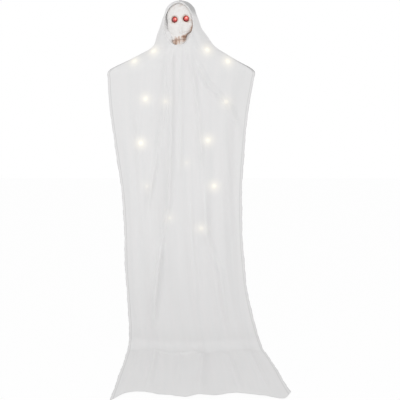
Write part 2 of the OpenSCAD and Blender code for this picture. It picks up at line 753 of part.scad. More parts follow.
module crown_bush() color("white")
    bush(crown + bush_lip, crown + crown_seat + bush_flange_t + bush_lip, crown + crown_seat);

module neck_bush() color("white")
    bush(base_drop - skull_wall - bush_flange_t, base_drop + bush_flange_t, base_drop);

module skull_back() color("whitesmoke") {
    floor_edge = [for (j = [0 : back_columns])
                  let (p = back_point(base_t, 90 - 180 * j / back_columns, skull_wall / 2))
                  [p[0], max(p[1], face_gap - joint_y)]];
    difference() {
        union() {
            turned() thick_sheet(back_grid(0), back_grid(skull_wall));
            rotate([0, 0, head_yaw])
                translate([-(base_drop - roll_level) * tan(head_roll), 0, -base_drop - cut])
                    linear_extrude(skull_wall + cut) polygon(floor_edge);
        }
        translate([0, 0, -base_drop - skull_w / 2])
            cube([2 * skull_w, 2 * cranium_d + skull_w, skull_w], center = true);
        translate([0, 0, -base_drop - cut]) cylinder(d = bush_d + 2 * fit, h = base_drop);
    }
}

module tooth_row(w, d, from, to) {
    long = abs(to - from);
    belly = long * tooth_belly;
    for (k = [0 : tooth_count - 1]) {
        a = (k - (tooth_count - 1) / 2) * tooth_step;
        size = mix(tooth_w, molar_w, abs(a) / tooth_spread);
        translate(arch_point(a, w, d, from)) mirror([0, 0, to > from ? 1 : 0]) hull() {
            cylinder(d1 = size * 0.8, d2 = size, h = belly, $fn = tooth_sides);
            translate([0, 0, belly])
                cylinder(d1 = size, d2 = size * 0.7, h = long - belly, $fn = tooth_sides);
        }
    }
}

module skull_face() color("whitesmoke") {
    palate = [for (j = [0 : face_columns])
              let (p = face_point(palate_t, -90 + 180 * j / face_columns, skull_wall / 2))
              [p[0], p[1]]];
    turned() difference() {
        union() {
            thick_sheet(face_grid(0), face_grid(skull_wall));
            translate([0, 0, -gum + 1]) linear_extrude(skull_wall) polygon(palate);
            tooth_row(gum_w - tooth_inset, gum_d - tooth_inset, gum - tooth_root, upper_bite);
            for (side = [-1, 1]) translate([side * lens_x, lens_seat + skull_wall / 2, -eye_level])
                drill_y(lens_d + 2 * skull_wall, skull_wall);
        }
        for (side = [-1, 1]) translate([side * lens_x, 0, -eye_level]) {
            translate([0, lens_seat - lens_d, 0]) drill_y(lens_d + 2 * fit, 2 * lens_d);
            translate([0, lens_seat, 0]) drill_y(lens_neck_d + 2 * fit, lens_d);
        }
        for (side = [-1, 1]) translate([mouth_shift + side * jaw_w / 2, jaw_screw_y, -jaw_screw_drop])
            drill_x(jaw_screw_d + 2 * fit, jaw_w / 2);
    }
}

// Jaw plate between the tooth arch and the lower border, swept up at both ends
function jaw_edge(a, v, inset) =
    let (end = ease(ramus_turn[0], ramus_turn[1], abs(a)),
         upper = mix(gum_w, jaw_w / 2, end) - inset,
         lower = mix(jaw_w / 2 - jaw_t, jaw_w / 2, end) - inset,
         deep = mix(gum_d - jaw_bite, gum_d - jaw_slant, v) - inset,
         knob = chin_h * exp(-pow(a / chin_half, 2)) * ease(0.3, 0.8, v),
         top = mix(lower_gum, ramus_top, end),
         foot = mix(chin, ramus_foot, ease(border_turn[0], border_turn[1], abs(a))),
         plan = mix(mix(arch_flat, jaw_plan, end), jaw_plan, v),
         bevel = inset > 0 ? 0 : -jaw_bevel * pow(2 * v - 1, 6))
    [(mix(upper, lower, ease(0, 1, v)) + bevel) * sin(a) + mouth_shift,
     -joint_y - (deep + knob + bevel) * pow(cos(a), plan),
     -mix(top, foot, v)];
function jaw_grid(inset) =
    [for (i = [0 : jaw_rows])
     [for (j = [0 : jaw_columns])
      jaw_edge(jaw_reach * (2 * j / jaw_columns - 1), i / jaw_rows, inset)]];

module lower_jaw() color("tan") {
    turned() difference() {
        union() {
            thick_sheet(jaw_grid(0), jaw_grid(jaw_t));
            tooth_row(gum_w - tooth_inset, gum_d - jaw_bite - tooth_inset, lower_gum + tooth_root, lower_bite);
        }
        for (side = [-1, 1]) translate([mouth_shift + side * jaw_w / 2, jaw_screw_y, -jaw_screw_drop])
            drill_x(jaw_screw_d + 2 * fit, jaw_w / 2);
    }
}

module jaw_screws() color("silver") {
    turned() for (side = [-1, 1])
        translate([mouth_shift + side * (jaw_w / 2 + face_gap), jaw_screw_y, -jaw_screw_drop])
            rotate([0, side * 90, 0]) {
                cylinder(d = jaw_screw_d * 2, h = jaw_screw_d / 2);
                translate([0, 0, -2 * jaw_t]) cylinder(d = jaw_screw_d, h = 2 * jaw_t + cut);
            }
}

// Red dome on a flat rim, with a neck that plugs into the face
module eye_lens(side) {
    dome_r = (pow(lens_d / 2, 2) + pow(lens_dome, 2)) / (2 * lens_dome);
    turned() translate([side * lens_x, lens_seat, -eye_level]) rotate([90, 0, 0]) {
        cylinder(d = lens_d, h = lens_rim);
        translate([0, 0, lens_rim]) intersection() {
            translate([0, 0, lens_dome - dome_r]) sphere(r = dome_r);
            cylinder(d = lens_d, h = lens_dome + cut);
        }
    }
}

module led_holder(side) {
    turned() translate([side * lens_x, lens_seat, -eye_level]) rotate([-90, 0, 0]) difference() {
        cylinder(d = lens_neck_d, h = holder_len);
        translate([0, 0, -cut]) cylinder(d = eye_led_d + 2 * fit, h = holder_len + 2 * cut);
    }
}

module eye_led(side) {
    turned() translate([side * lens_x, lens_seat, -eye_level]) rotate([-90, 0, 0]) {
        translate([0, 0, eye_led_d / 2 + led_back]) sphere(d = eye_led_d);
        translate([0, 0, eye_led_d / 2 + led_back])
            cylinder(d = eye_led_d, h = holder_len - eye_led_d / 2);
        translate([0, 0, holder_len]) cylinder(d = eye_led_d + led_flange, h = led_flange);
        for (leg = [-1, 1]) translate([leg * leg_gap / 2, 0, holder_len])
            cylinder(d = leg_d, h = leg_len);
    }
}

module left_eye_lens() color("red") eye_lens(-1);
module right_eye_lens() color("red") eye_lens(1);
module left_led_holder() color("white") led_holder(-1);
module right_led_holder() color("white") led_holder(1);
module left_eye_led() color("tomato") eye_led(-1);
module right_eye_led() color("tomato") eye_led(1);

module eye_wires() color("ivory") {
    led_end = lens_seat + holder_len + leg_len + wire_d;
    turned() for (side = [-1, 1])
        wire(curve([[side * wire_d * 0.75, -spine_d / 2 - wire_d, -lead_exit],
                    [side * 10, -14, -lead_exit - 3],
                    [side * (lens_x - 8), led_end + 6, -eye_level - 3],
                    [side * (lens_x - wire_d), led_end, -eye_level]], eye_wire_steps), wire_d);
}

module eye_lead() color("ivory")
    wire(curve([[lead_x, bay_front + 3, -case_drop + wire_rise],
                [4, case_front + 4, -lead_entry - 1],
                [0, spine_d / 2 + 1, -lead_entry],
                [0, 2, -lead_entry + 0.4],
                [0, 0, -lead_entry + 10],
                [0, 0, -hub_drop],
                [0, 0, -base_drop],
                [0, 0, -lead_exit - 12],
                [0, -2, -lead_exit]], lead_steps), lead_d);

// Box for the cells, open at the back, with a switch bay above and clips round the spine
module battery_case() color("white") {
    difference() {
        union() {
            translate([-case_w / 2, case_front, -case_bottom])
                cube([case_w, case_back - case_front, case_h]);
            for (drop = [case_drop + clip_end, case_bottom - clip_h - clip_end])
                translate([0, 0, -drop - clip_h])
                    cylinder(d = spine_d + 2 * (fit + clip_t), h = clip_h);
        }
        translate([0, 0, -case_bottom - cut]) cylinder(d = spine_d + 2 * fit, h = case_h + 2 * cut);
        translate([-clip_mouth / 2, -2 * spine_d, -case_bottom - cut])
            cube([clip_mouth, 2 * spine_d, case_h + 2 * cut]);
        translate([-bay_w / 2, bay_front, -bay_bottom])
            cube([bay_w, bay_back - bay_front + cut, bay_h]);
        translate([-bay_w / 2 - groove, door_front - fit, -case_bottom - cut])
            cube([bay_w + 2 * groove, door_t + 2 * fit, case_bottom - bay_top + cut]);
        translate([-bay_w / 2, bay_back, -bay_bottom])
            cube([bay_w, case_back - bay_back + cut, bay_h]);
        translate([-bay_w / 2, door_front, -case_bottom - cut])
            cube([bay_w, case_back - door_front + cut, case_wall + 2 * cut]);
        translate([-bay_w / 2, bay_front, -switch_floor])
            cube([bay_w, case_back - bay_front + cut, switch_bay_h]);
        translate([-case_w / 2 - cut, case_back - cover_t, -switch_floor - fit])
            cube([case_w + 2 * cut, cover_t + cut, case_wall + switch_bay_h + cut]);
        translate([case_w / 2 - case_wall - cut, switch_y - knob_w / 2 - fit,
                   -knob_drop - knob_w - switch_travel - 2 * face_gap])
            cube([case_wall + 2 * cut, knob_w + 2 * fit, knob_w + switch_travel + 3 * face_gap]);
        translate([lead_x, bay_front + 3, -case_drop - case_wall - cut])
            cylinder(d = lead_d + loose, h = case_wall + 2 * cut);
        for (x = string_starts) translate([x, string_y, -case_drop - case_wall - cut])
            cylinder(d = wire_d + loose, h = case_wall + 2 * cut);
        cover_bores();
    }
}

module at_cover_screws()
    for (side = [-1, 1])
        translate([side * (case_w - case_wall) / 2, case_back, -cover_screw_drop]) children();

module cover_bores() at_cover_screws() drill_y(cover_shank_d + 2 * fit, 2 * cover_screw_len + cut);

module battery_door() color("white") {
    door_h = case_bottom - bay_top - face_gap;
    translate([-bay_w / 2 - groove + fit, door_front, -case_bottom])
        cube([bay_w + 2 * groove - 2 * fit, door_t, door_h]);
    for (k = [0 : 2])
        translate([-grip_w / 2, door_front + door_t - fit, -case_bottom + grip_step * (k + 2)])
            cube([grip_w, lip_t * 0.8, grip_step / 2]);
}

module battery_cells() color("darkgreen") {
    for (k = [0 : cell_count - 1]) {
        flip = k % 2;
        x = (k - (cell_count - 1) / 2) * (cell_d + loose);
        foot = bay_bottom - contact_t - contact_rise - loose / 2;
        translate([x, (bay_front + bay_back) / 2, -foot]) {
            translate([0, 0, flip == 0 ? 0 : nub_h]) cylinder(d = cell_d, h = cell_len);
            translate([0, 0, flip == 0 ? cell_len : 0]) cylinder(d = nub_d, h = nub_h);
        }
    }
}

// Bent leaf strips: a flat against the wall and a bowed leaf that presses on the cells
module contact_strip(level) {
    leaf = contact_rise + loose / 4;
    for (k = [0 : cell_count - 1]) {
        x = (k - (cell_count - 1) / 2) * (cell_d + loose);
        translate([x, (bay_front + bay_back) / 2, 0]) {
            translate([-contact_w / 2, -leaf_r, level > 0 ? -contact_t : 0])
                cube([contact_w, 2 * leaf_r, contact_t]);
            translate([0, 0, level > 0 ? -contact_t : contact_t]) intersection() {
                translate([0, 0, level * (leaf_r - leaf)]) rotate([90, 0, 0])
                    difference() {
                        cylinder(r = leaf_r, h = leaf_w, center = true);
                        cylinder(r = leaf_r - contact_t, h = leaf_w + cut, center = true);
                    }
                translate([-leaf_r, -leaf_r, level > 0 ? -leaf - fit : -fit])
                    cube([2 * leaf_r, 2 * leaf_r, leaf + 2 * fit]);
            }
        }
    }
}

module upper_contacts() color("gold") translate([0, 0, -bay_top]) contact_strip(1);
module lower_contacts() color("gold") translate([0, 0, -bay_bottom]) contact_strip(-1);

module switch_board() color("seagreen")
    translate([-bay_w / 2 + face_gap, bay_front, -switch_floor + face_gap])
        cube([bay_w * 0.8, board_t, switch_bay_h - 2 * face_gap]);

module switch_knob() color("black") {
    inner = case_w / 2 - case_wall;
    foot = knob_drop + knob_w + face_gap;
    translate([inner - knob_base_t - 2 * fit, switch_y - knob_w, -foot - knob_step])
        cube([knob_base_t, 2 * knob_w, knob_w + 2 * knob_step]);
    translate([inner - knob_step, switch_y - knob_w / 2, -foot])
        cube([case_wall + knob_step + knob_reach, knob_w, knob_w]);
}

module switch_cover() color("white") {
    difference() {
        translate([-case_w / 2, case_back - cover_t, -switch_floor])
            cube([case_w, cover_t, case_wall + switch_bay_h]);
        cover_bores();
    }
}

module cover_screws() color("silver") {
    at_cover_screws() rotate([-90, 0, 0]) {
        cylinder(d = cover_screw_d, h = cover_screw_d * 0.4);
        translate([0, 0, -cover_screw_len]) cylinder(d = cover_shank_d, h = cover_screw_len);
    }
}

// Light string: from the box over the shoulder and down the inside of a panel
string_clear = wire_gap + bulb_d;
function string_head(x, side) =
    [[x, string_y, -case_drop + wire_rise],
     [x + side * 6, string_y, -case_drop + 14],
     [x + side * 30, 14, -hub_drop + 20],
     [x + side * 66, -24, -neck_drop - 10]];
back_head = [[string_starts[2], string_y, -case_drop + wire_rise],
             [-7, string_y + 4, -case_drop + 12],
             [-32, case_back - 2, -case_drop - 6]];

// Steps along a string: between two lights the wire keeps to the inside of the panel
function string_points(side, head, lights) =
    concat(curve(concat(head, [on_panel(side, lights[0], string_clear)]), head_steps),
           [for (i = [0 : len(lights) - 2], k = [1 : string_steps])
            on_panel(side, mix(lights[i], lights[i + 1], k / string_steps), string_clear)]);

module left_wire() color("ivory")
    wire(string_points(-1, string_head(string_starts[0], -1), left_lights), wire_d);
module right_wire() color("ivory")
    wire(string_points(-1, string_head(string_starts[1], 1), right_lights), wire_d);
module back_wire() color("ivory") wire(string_points(1, back_head, back_lights), wire_d);

// Direction back up the string at a light
function light_way(side, lights, i) =
    on_panel(side, mix(lights[i], lights[max(i - 1, 0)], 0.1), string_clear)
    - on_panel(side, mix(lights[i], lights[min(i + 1, len(lights) - 1)], 0.1), string_clear);

module along(way)
    rotate([0, acos(way[2] / norm(way)), atan2(way[1], way[0])]) children();

module bulbs(side, lights) {
    for (i = [0 : len(lights) - 1])
        translate(on_panel(side, lights[i], string_clear)) along(light_way(side, lights, i)) {
            cylinder(d = bulb_d * 0.9, h = sleeve_len);
            translate([0, 0, -bulb_len + bulb_d / 2]) {
                cylinder(d = bulb_d, h = bulb_len - bulb_d / 2);
                sphere(d = bulb_d);
            }
        }
}

module left_bulbs() color("lightyellow") bulbs(-1, left_lights);
module right_bulbs() color("lightyellow") bulbs(-1, right_lights);
module back_bulbs() color("lightyellow") bulbs(1, back_lights);

module robe_front() color("white")
    thick_sheet(panel_grid(-1, front_train, 0), panel_grid(-1, front_train, cloth_t));

module robe_back() color("white")
    thick_sheet(panel_grid(1, back_train, 0), panel_grid(1, back_train, cloth_t));

module hood() color("white") {
    opening_h = opening_foot - crown - opening_top;
    difference() {
        thick_ring(hood_grid(0), hood_grid(cloth_t));
        translate([opening_x, -2 * joint_y, -crown - opening_top - opening_h / 2]) rotate([90, 0, 0])
            linear_extrude(2 * hood_front) scale([opening_w / opening_h, 1]) circle(d = opening_h);
    }
}

hanger_eye();
hanger_pin();
spine_tube();
neck_collar();
collar_screw();
shoulder_hub();
hub_screw();
arm_pins();
left_arm_rod();
left_arm_tip();
right_arm_rod();
right_arm_tip();
crown_bush();
neck_bush();
skull_back();
skull_face();
lower_jaw();
jaw_screws();
left_eye_lens();
right_eye_lens();
left_led_holder();
right_led_holder();
left_eye_led();
right_eye_led();
eye_wires();
eye_lead();
battery_case();
battery_door();
battery_cells();
upper_contacts();
lower_contacts();
switch_board();
switch_knob();
switch_cover();
cover_screws();
left_wire();
right_wire();
back_wire();
left_bulbs();
right_bulbs();
back_bulbs();
robe_front();
robe_back();
hood();
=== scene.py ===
import json
import math

import bmesh
import bpy
import numpy as np
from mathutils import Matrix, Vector
from mathutils.bvhtree import BVHTree


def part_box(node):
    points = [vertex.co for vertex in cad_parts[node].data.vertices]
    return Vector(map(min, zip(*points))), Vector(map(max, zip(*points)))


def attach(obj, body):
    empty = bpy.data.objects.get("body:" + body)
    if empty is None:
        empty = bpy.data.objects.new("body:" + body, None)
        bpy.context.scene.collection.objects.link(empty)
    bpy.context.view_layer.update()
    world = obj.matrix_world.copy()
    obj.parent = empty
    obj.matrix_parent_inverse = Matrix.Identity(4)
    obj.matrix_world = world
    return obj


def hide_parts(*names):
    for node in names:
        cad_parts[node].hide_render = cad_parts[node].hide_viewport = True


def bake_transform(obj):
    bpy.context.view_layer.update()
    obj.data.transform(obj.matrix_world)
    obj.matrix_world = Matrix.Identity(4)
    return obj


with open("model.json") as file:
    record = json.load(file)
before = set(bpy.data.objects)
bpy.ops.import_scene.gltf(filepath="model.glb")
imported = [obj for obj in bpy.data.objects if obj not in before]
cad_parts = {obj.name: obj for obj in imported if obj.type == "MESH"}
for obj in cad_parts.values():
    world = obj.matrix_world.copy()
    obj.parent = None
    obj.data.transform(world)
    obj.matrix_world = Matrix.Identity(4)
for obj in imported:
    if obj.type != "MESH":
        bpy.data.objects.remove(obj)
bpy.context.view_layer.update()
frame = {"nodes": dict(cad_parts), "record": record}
nodes = frame["nodes"]
bpy.ops.object.select_all(action="DESELECT")
print("frame loaded:", len(nodes), "solids")


# camera at the photograph's angle, image taken as 400 x 400
camera = {"place": (0.095, -3.1, -0.702), "pitch": 5.33, "lens": 55.9, "sensor": 36.0}


def setCamera():
    x, y, z = camera["place"]
    tilt = math.radians(90 - camera["pitch"])
    bpy.ops.object.camera_add(location=(x, y, z), rotation=(tilt, 0, 0))
    lens = bpy.context.object.data
    lens.lens = camera["lens"]
    lens.sensor_width = camera["sensor"]
    bpy.context.scene.camera = bpy.context.object


setCamera()
print("camera set")


# small helpers
def linear(code):  # sRGB hex to linear colour
    parts = [int(code[i:i + 2], 16) / 255 for i in (1, 3, 5)]
    return tuple(c / 12.92 if c <= 0.04045 else ((c + 0.055) / 1.055) ** 2.4 for c in parts) + (1.0,)


def addNode(tree, kind, inputs=None, **settings):
    node = tree.nodes.new(kind)
    for key, value in settings.items():
        setattr(node, key, value)
    for key, value in (inputs or {}).items():
        if isinstance(value, bpy.types.NodeSocket):
            tree.links.new(value, node.inputs[key])
        else:
            node.inputs[key].default_value = value
    return node


def newFinish(name, **sockets):  # a material with its plain values set on the shader
    finish = bpy.data.materials.new(name)
    finish.use_nodes = True
    tree = finish.node_tree
    shader = tree.nodes["Principled BSDF"]
    for key, value in sockets.items():
        shader.inputs[key.replace("_", " ")].default_value = value
    return finish, tree, shader


def feed(tree, shader, **sockets):  # links textures to the shader
    for key, value in sockets.items():
        tree.links.new(value, shader.inputs[key.replace("_", " ")])


def addRamp(tree, value, stops):  # stops are (position, hex)
    ramp = addNode(tree, "ShaderNodeValToRGB", {"Fac": value})
    band = ramp.color_ramp
    while len(band.elements) < len(stops):
        band.elements.new(0.5)
    for element, (place, code) in zip(band.elements, stops):
        element.position = place
        element.color = linear(code)
    return ramp.outputs["Color"]


def addNoise(tree, vector, scale, detail):
    node = addNode(tree, "ShaderNodeTexNoise", {"Vector": vector, "Scale": scale, "Detail": detail})
    return node.outputs["Fac"]


def addSpread(tree, value, middle, by):  # a texture brought between middle - by and middle + by
    ends = {"Value": value, "To Min": middle - by, "To Max": middle + by}
    return addNode(tree, "ShaderNodeMapRange", ends).outputs["Result"]


def addBump(tree, strength, distance, height, **under):  # under: Normal of the bump below this one
    inputs = {"Strength": strength, "Distance": distance, "Height": height, **under}
    return addNode(tree, "ShaderNodeBump", inputs).outputs["Normal"]


def ease(low, high, x):
    t = np.clip((x - low) / (high - low), 0, 1)
    return t * t * (3 - 2 * t)


def smoothThrough(stations, x):  # smooth curve through (place, value) stations
    places, values = np.array(stations, float).T
    last = len(places) - 1
    after = np.minimum(np.arange(last + 1) + 1, last)
    before = np.maximum(np.arange(last + 1) - 1, 0)
    slopes = (values[after] - values[before]) / (places[after] - places[before])
    x = np.clip(x, places[0], places[-1])
    i = np.clip(np.searchsorted(places, x, side="right") - 1, 0, last - 1)
    gap = places[i + 1] - places[i]
    t = (x - places[i]) / gap
    return ((2 * t**3 - 3 * t**2 + 1) * values[i] + (t**3 - 2 * t**2 + t) * gap * slopes[i]
            + (3 * t**2 - 2 * t**3) * values[i + 1] + (t**3 - t**2) * gap * slopes[i + 1])


def makeActive(piece):
    bpy.ops.object.select_all(action="DESELECT")
    bpy.context.view_layer.objects.active = piece
    piece.select_set(True)


def applyModifier(piece, kind, **settings):
    makeActive(piece)
    modifier = piece.modifiers.new(kind.lower(), kind)
    for key, value in settings.items():
        setattr(modifier, key, value)
    bpy.ops.object.modifier_apply(modifier=modifier.name)


def editWhole(piece, operation, **settings):  # runs an edit-mode operation on all of a mesh
    makeActive(piece)
    bpy.ops.object.mode_set(mode="EDIT")
    bpy.ops.mesh.select_all(action="SELECT")
    operation(**settings)
    bpy.ops.object.mode_set(mode="OBJECT")


def readPoints(piece):  # vertex places in millimetres
    places = np.empty(len(piece.data.vertices) * 3)
    piece.data.vertices.foreach_get("co", places)
    return places.reshape(-1, 3) * 1000


def writePoints(piece, points):
    piece.data.vertices.foreach_set("co", (points / 1000).astype(np.float32).ravel())
    piece.data.update()


def newGrid(name, columns, rows):  # a flat sheet and its places from -1 to 1
    bpy.ops.mesh.primitive_grid_add(x_subdivisions=columns, y_subdivisions=rows, size=2)
    piece = bpy.context.object
    piece.name = piece.data.name = name
    return piece, readPoints(piece) / 1000


def writeValues(piece, name, values):
    attribute = piece.data.attributes.get(name) or piece.data.attributes.new(name, "FLOAT", "POINT")
    attribute.data.foreach_set("value", np.asarray(values, np.float32))


def dress(piece, finish):
    piece.data.materials.clear()
    piece.data.materials.append(finish)


# cloth: one robe of two panels and a hood, in millimetres below the hanging hole
robe = {
    "neckDrop": 254, "floorDrop": 1752, "bendStart": 1438, "bendRadius": 60,
    "frontRun": 2082.25, "backRun": 1862.25, "seamGap": 0.3, "thick": 1.6, "foldDepth": 17, "hemWave": 0.08,
    "backTaper": 0.09, "kneeRun": 1148,
    "half": [[0, 176], [49, 266], [98, 356], [138, 359], [348, 335.5], [745, 299], [1148, 305], [1338, 317.4],
             [1532.25, 345], [2082.25, 375]],
    "hemRun": [[-1, 0.94], [-0.82, -0.62], [-0.7, -1], [-0.4, -0.44], [-0.13, -0.2], [0.38, -0.78], [0.64, -0.12],
               [0.9, 0.6], [1, -1]],
    "frontSweep": [[0, 17], [98, 4], [318, -8], [745, 6], [1148, 24], [1532.25, 74], [2082.25, 102]],
    "backSweep": [[0, 17], [98, 4], [318, -8], [745, 6], [1148, 24], [1532.25, 74], [1862.25, 55.5]],
    "frontDepth": [[0, 104], [120, 88], [400, 72], [1438, 58], [2082.25, 29]],
    "backDepth": [[0, 86], [120, 72], [400, 62], [1438, 50], [1862.25, 25]],
    "foldShare": [[0, 0], [98, 0.12], [348, 0.55], [745, 0.85], [1148, 1], [1532.25, 0.6], [2082.25, 0.45]],
    "columns": 56, "rows": 330, "wall": 1.0, "foldGain": 1.8, "foldStart": (-0.05, 0.18), "foldEnd": (1.02, 0.75),
    # the last two entries set where along and how dark the painted shade at the shoulder edges is
    "standOff": 0.6, "flatEdge": 6, "shadeRun": (30, 80, 96, 112), "shadeShare": (0.5, 1.0),
}
lights = {  # x, drop below the hole, brightness through the cloth
    "front": [(-128, 264, 1.0), (-224, 310, 0.9), (-168, 494, 0.8), (-194, 707, 1.0), (-166, 918, 0.25),
              (130, 262, 1.0), (230, 312, 1.0), (222, 508, 0.6), (134, 693, 0.9), (164, 918, 0.8), (102, 1125, 0.5)],
    "back": [(-70, 508, 0.5), (30, 803, 0.25), (-54, 1072, 0.4)],
    "core": (0.3, 8), "halo": (0.2, 28), "rise": 2.5, "spread": 17.0,
    "through": {"front": (1.0, 0.35), "back": (0.7, 1.0)},  # share that the front and the back panel show
}
drawnFolds = {  # height, half width and line of each fold: places across and along the cloth
    "front": [
        (7, 13, [(-58, 10), (-68, 84), (-79, 322), (-104, 442), (-149, 685), (-172, 850)]),
        (9, 13, [(-34, 10), (-39, 60), (-46, 442), (-57, 744), (-92, 932), (-134, 1243), (-152, 1440)]),
        (6, 12, [(33, 10), (52, 60), (76, 202), (90, 322), (100, 490), (106, 620)]),
        (7, 14, [(57, 20), (129, 164), (240, 274), (289, 370), (303, 480)]),
        (7, 15, [(119, 640), (129, 907), (194, 1092), (219, 1258), (255, 1440)]),
        (5, 14, [(46, 660), (56, 907), (75, 1132), (84, 1260)]),
        (4, 12, [(4, 20), (3, 346), (-2, 640)]),
        (5, 14, [(-102, 940), (-118, 1182), (-145, 1440)]),
        (4, 16, [(-214, 240), (-203, 636), (-181, 1060)]),
        (4, 16, [(231, 460), (252, 833), (284, 1240)]),
        (11, 22, [(352, 1290), (376, 1420), (418, 1520), (440, 1704), (462, 2010)]),
        (6, 16, [(-130, 1500), (-126, 1755), (-132, 2090)]),
        (6, 16, [(110, 1500), (104, 1780), (95, 2090)]),
        (6, 18, [(225, 1500), (243, 1755), (262, 2090)]),
        (4, 14, [(-6, 1480), (-7, 1730), (-7, 2060)]),
        (5, 16, [(335, 1510), (356, 1730), (388, 2060)]),
        (6, 16, [(-219, 1550), (-225, 1780), (-240, 2110)]),
        (3, 12, [(-190, 1536), (-90, 1548), (20, 1540), (90, 1530)]),  # crease where the cloth meets the floor
    ],
    "back": [
        (8, 14, [(40, 10), (46, 300), (70, 700), (110, 1240), (140, 1440)]),
        (8, 14, [(-44, 10), (-60, 320), (-110, 760), (-128, 1300), (-120, 1460)]),
        (6, 13, [(-4, 10), (0, 400), (-16, 900), (-20, 1300)]),
        (6, 14, [(80, 20), (150, 180), (240, 330), (280, 480)]),
        (6, 14, [(-80, 20), (-150, 190), (-236, 340), (-262, 520)]),
        (5, 15, [(190, 620), (206, 1000), (250, 1430)]),
        (5, 15, [(-190, 640), (-196, 1020), (-190, 1430)]),
        (7, 18, [(-60, 1500), (-70, 1700), (-90, 1870)]),
        (7, 18, [(90, 1500), (100, 1700), (90, 1870)]),
        (6, 18, [(230, 1500), (236, 1700), (220, 1870)]),
        (6, 18, [(-180, 1500), (-200, 1700), (-216, 1870)]),
    ],
}


longFolds = {  # folds that the solids have too: share, count, start, drift along the cloth, sway and its turns
    "front": [(0.46, 1.55, 0.1, 0, 0.1, 1), (0.34, 2.45, 0.36, -0.3, 0, 0), (0.2, 3.3, 0.6, 0.4, 0, 0)],
    "back": [(0.48, 1.7, 0.42, 0, -0.12, 300 / 360), (0.32, 2.6, 0.1, 0.25, 0, 0), (0.2, 3.2, 0.8, -0.3, 0, 0)],
}
pleats = {  # shallow pleats of thin cloth
    "gather": {"height": 0.8, "count": 5.2, "start": 0.15, "sway": 0.12, "turns": 1.3, "across": (1.0, 0.35),
               "fade": 0.75, "along": (260, 900)},
    "drape": {"height": 0.35, "count": 6.3, "sway": 0.5, "start": 1, "along": (60, 620)},
    "ripple": {"height": 1.2, "length": 37.0, "lean": 3.2, "sway": 1.7, "turns": 4, "along": (20, 140)},
    "backShift": 0.37,
}
ragged = {  # waves of the torn edges
    "edge": [(0.9, 13.7, 1, 0), (0.7, 5.9, 2, 0), (1.2, 41.0, 0, 1)],  # size, length, phase of the hand, phase
    "hem": [(3, 11, 2), (1.5, 23, 0), (0.8, 61, 0)],  # size, count, phase
    "edgeBand": (0.95, 1.0), "edgeRun": (160, 420), "hemRun": 140,
}


def panelName(side):
    return "front" if side < 0 else "back"


def foldLines(side, u, q):
    turn = 2 * np.pi
    return sum(share * np.cos(turn * (count * u + start + drift * q + sway * np.sin(turn * turns * q)))
               for share, count, start, drift, sway, turns in longFolds[panelName(side)])


def drawnHeight(side, x, run):
    total = np.zeros_like(x)
    for height, width, line in drawnFolds[panelName(side)]:
        nearest = np.full_like(x, 1e6)
        along = np.zeros_like(x)
        for i, ((ax, ar), (bx, br)) in enumerate(zip(line[:-1], line[1:])):
            dx, dr = bx - ax, br - ar
            t = np.clip(((x - ax) * dx + (run - ar) * dr) / (dx * dx + dr * dr), 0, 1)
            away = np.hypot(x - ax - t * dx, run - ar - t * dr)
            along = np.where(away < nearest, (i + t) / (len(line) - 1), along)
            nearest = np.minimum(nearest, away)
        taper = ease(*robe["foldStart"], along) * ease(*robe["foldEnd"], along)
        total += robe["foldGain"] * height * taper * np.exp(-((nearest / width) ** 2))
    return total


def fineFolds(side, u, run):
    turn = 2 * np.pi
    q = run / robe["frontRun"]
    shift = 0 if side < 0 else pleats["backShift"]
    gather, drape, ripple = pleats["gather"], pleats["drape"], pleats["ripple"]
    sway = gather["sway"] * np.sin(turn * gather["turns"] * q)
    gathered = 1 + np.cos(turn * (gather["count"] * u + gather["start"] + shift + sway))
    gathered = gathered * ease(*gather["across"], np.abs(u))
    gathered = gather["height"] * gathered * (1 - gather["fade"] * ease(*gather["along"], run))
    sway = drape["sway"] * np.sin(turn * q + drape["start"])
    draped = drape["height"] * (1 + np.cos(turn * (drape["count"] * u + sway + shift))) * ease(*drape["along"], run)
    low, high = ripple["along"]
    floor = ease(robe["bendStart"] + low, robe["bendStart"] + high, run)
    wave = run / ripple["length"] + ripple["lean"] * u + ripple["sway"] * np.sin(ripple["turns"] * u)
    return gathered + draped + ripple["height"] * (1 + np.sin(wave)) * floor


def overBulbs(side, x, drop):  # cloth stands off a little where a bulb lies behind it
    rise = np.zeros_like(x)
    for lx, ld, _ in lights[panelName(side)]:
        rise += lights["rise"] * np.exp(-((x - lx) ** 2 + (drop - ld) ** 2) / lights["spread"] ** 2)
    return rise


def clothFolds(side, u, run, x, drop):  # all that stands out from the solid's own folds
    folds = robe["standOff"] + fineFolds(side, u, run) + drawnHeight(side, x, run) + overBulbs(side, x, drop)
    return (1 - u ** robe["flatEdge"]) * folds


def panelHalf(side, run):  # half the panel's width
    half = smoothThrough(robe["half"], run)
    return half if side < 0 else half * (1 - robe["backTaper"] * ease(robe["kneeRun"], robe["backRun"], run))


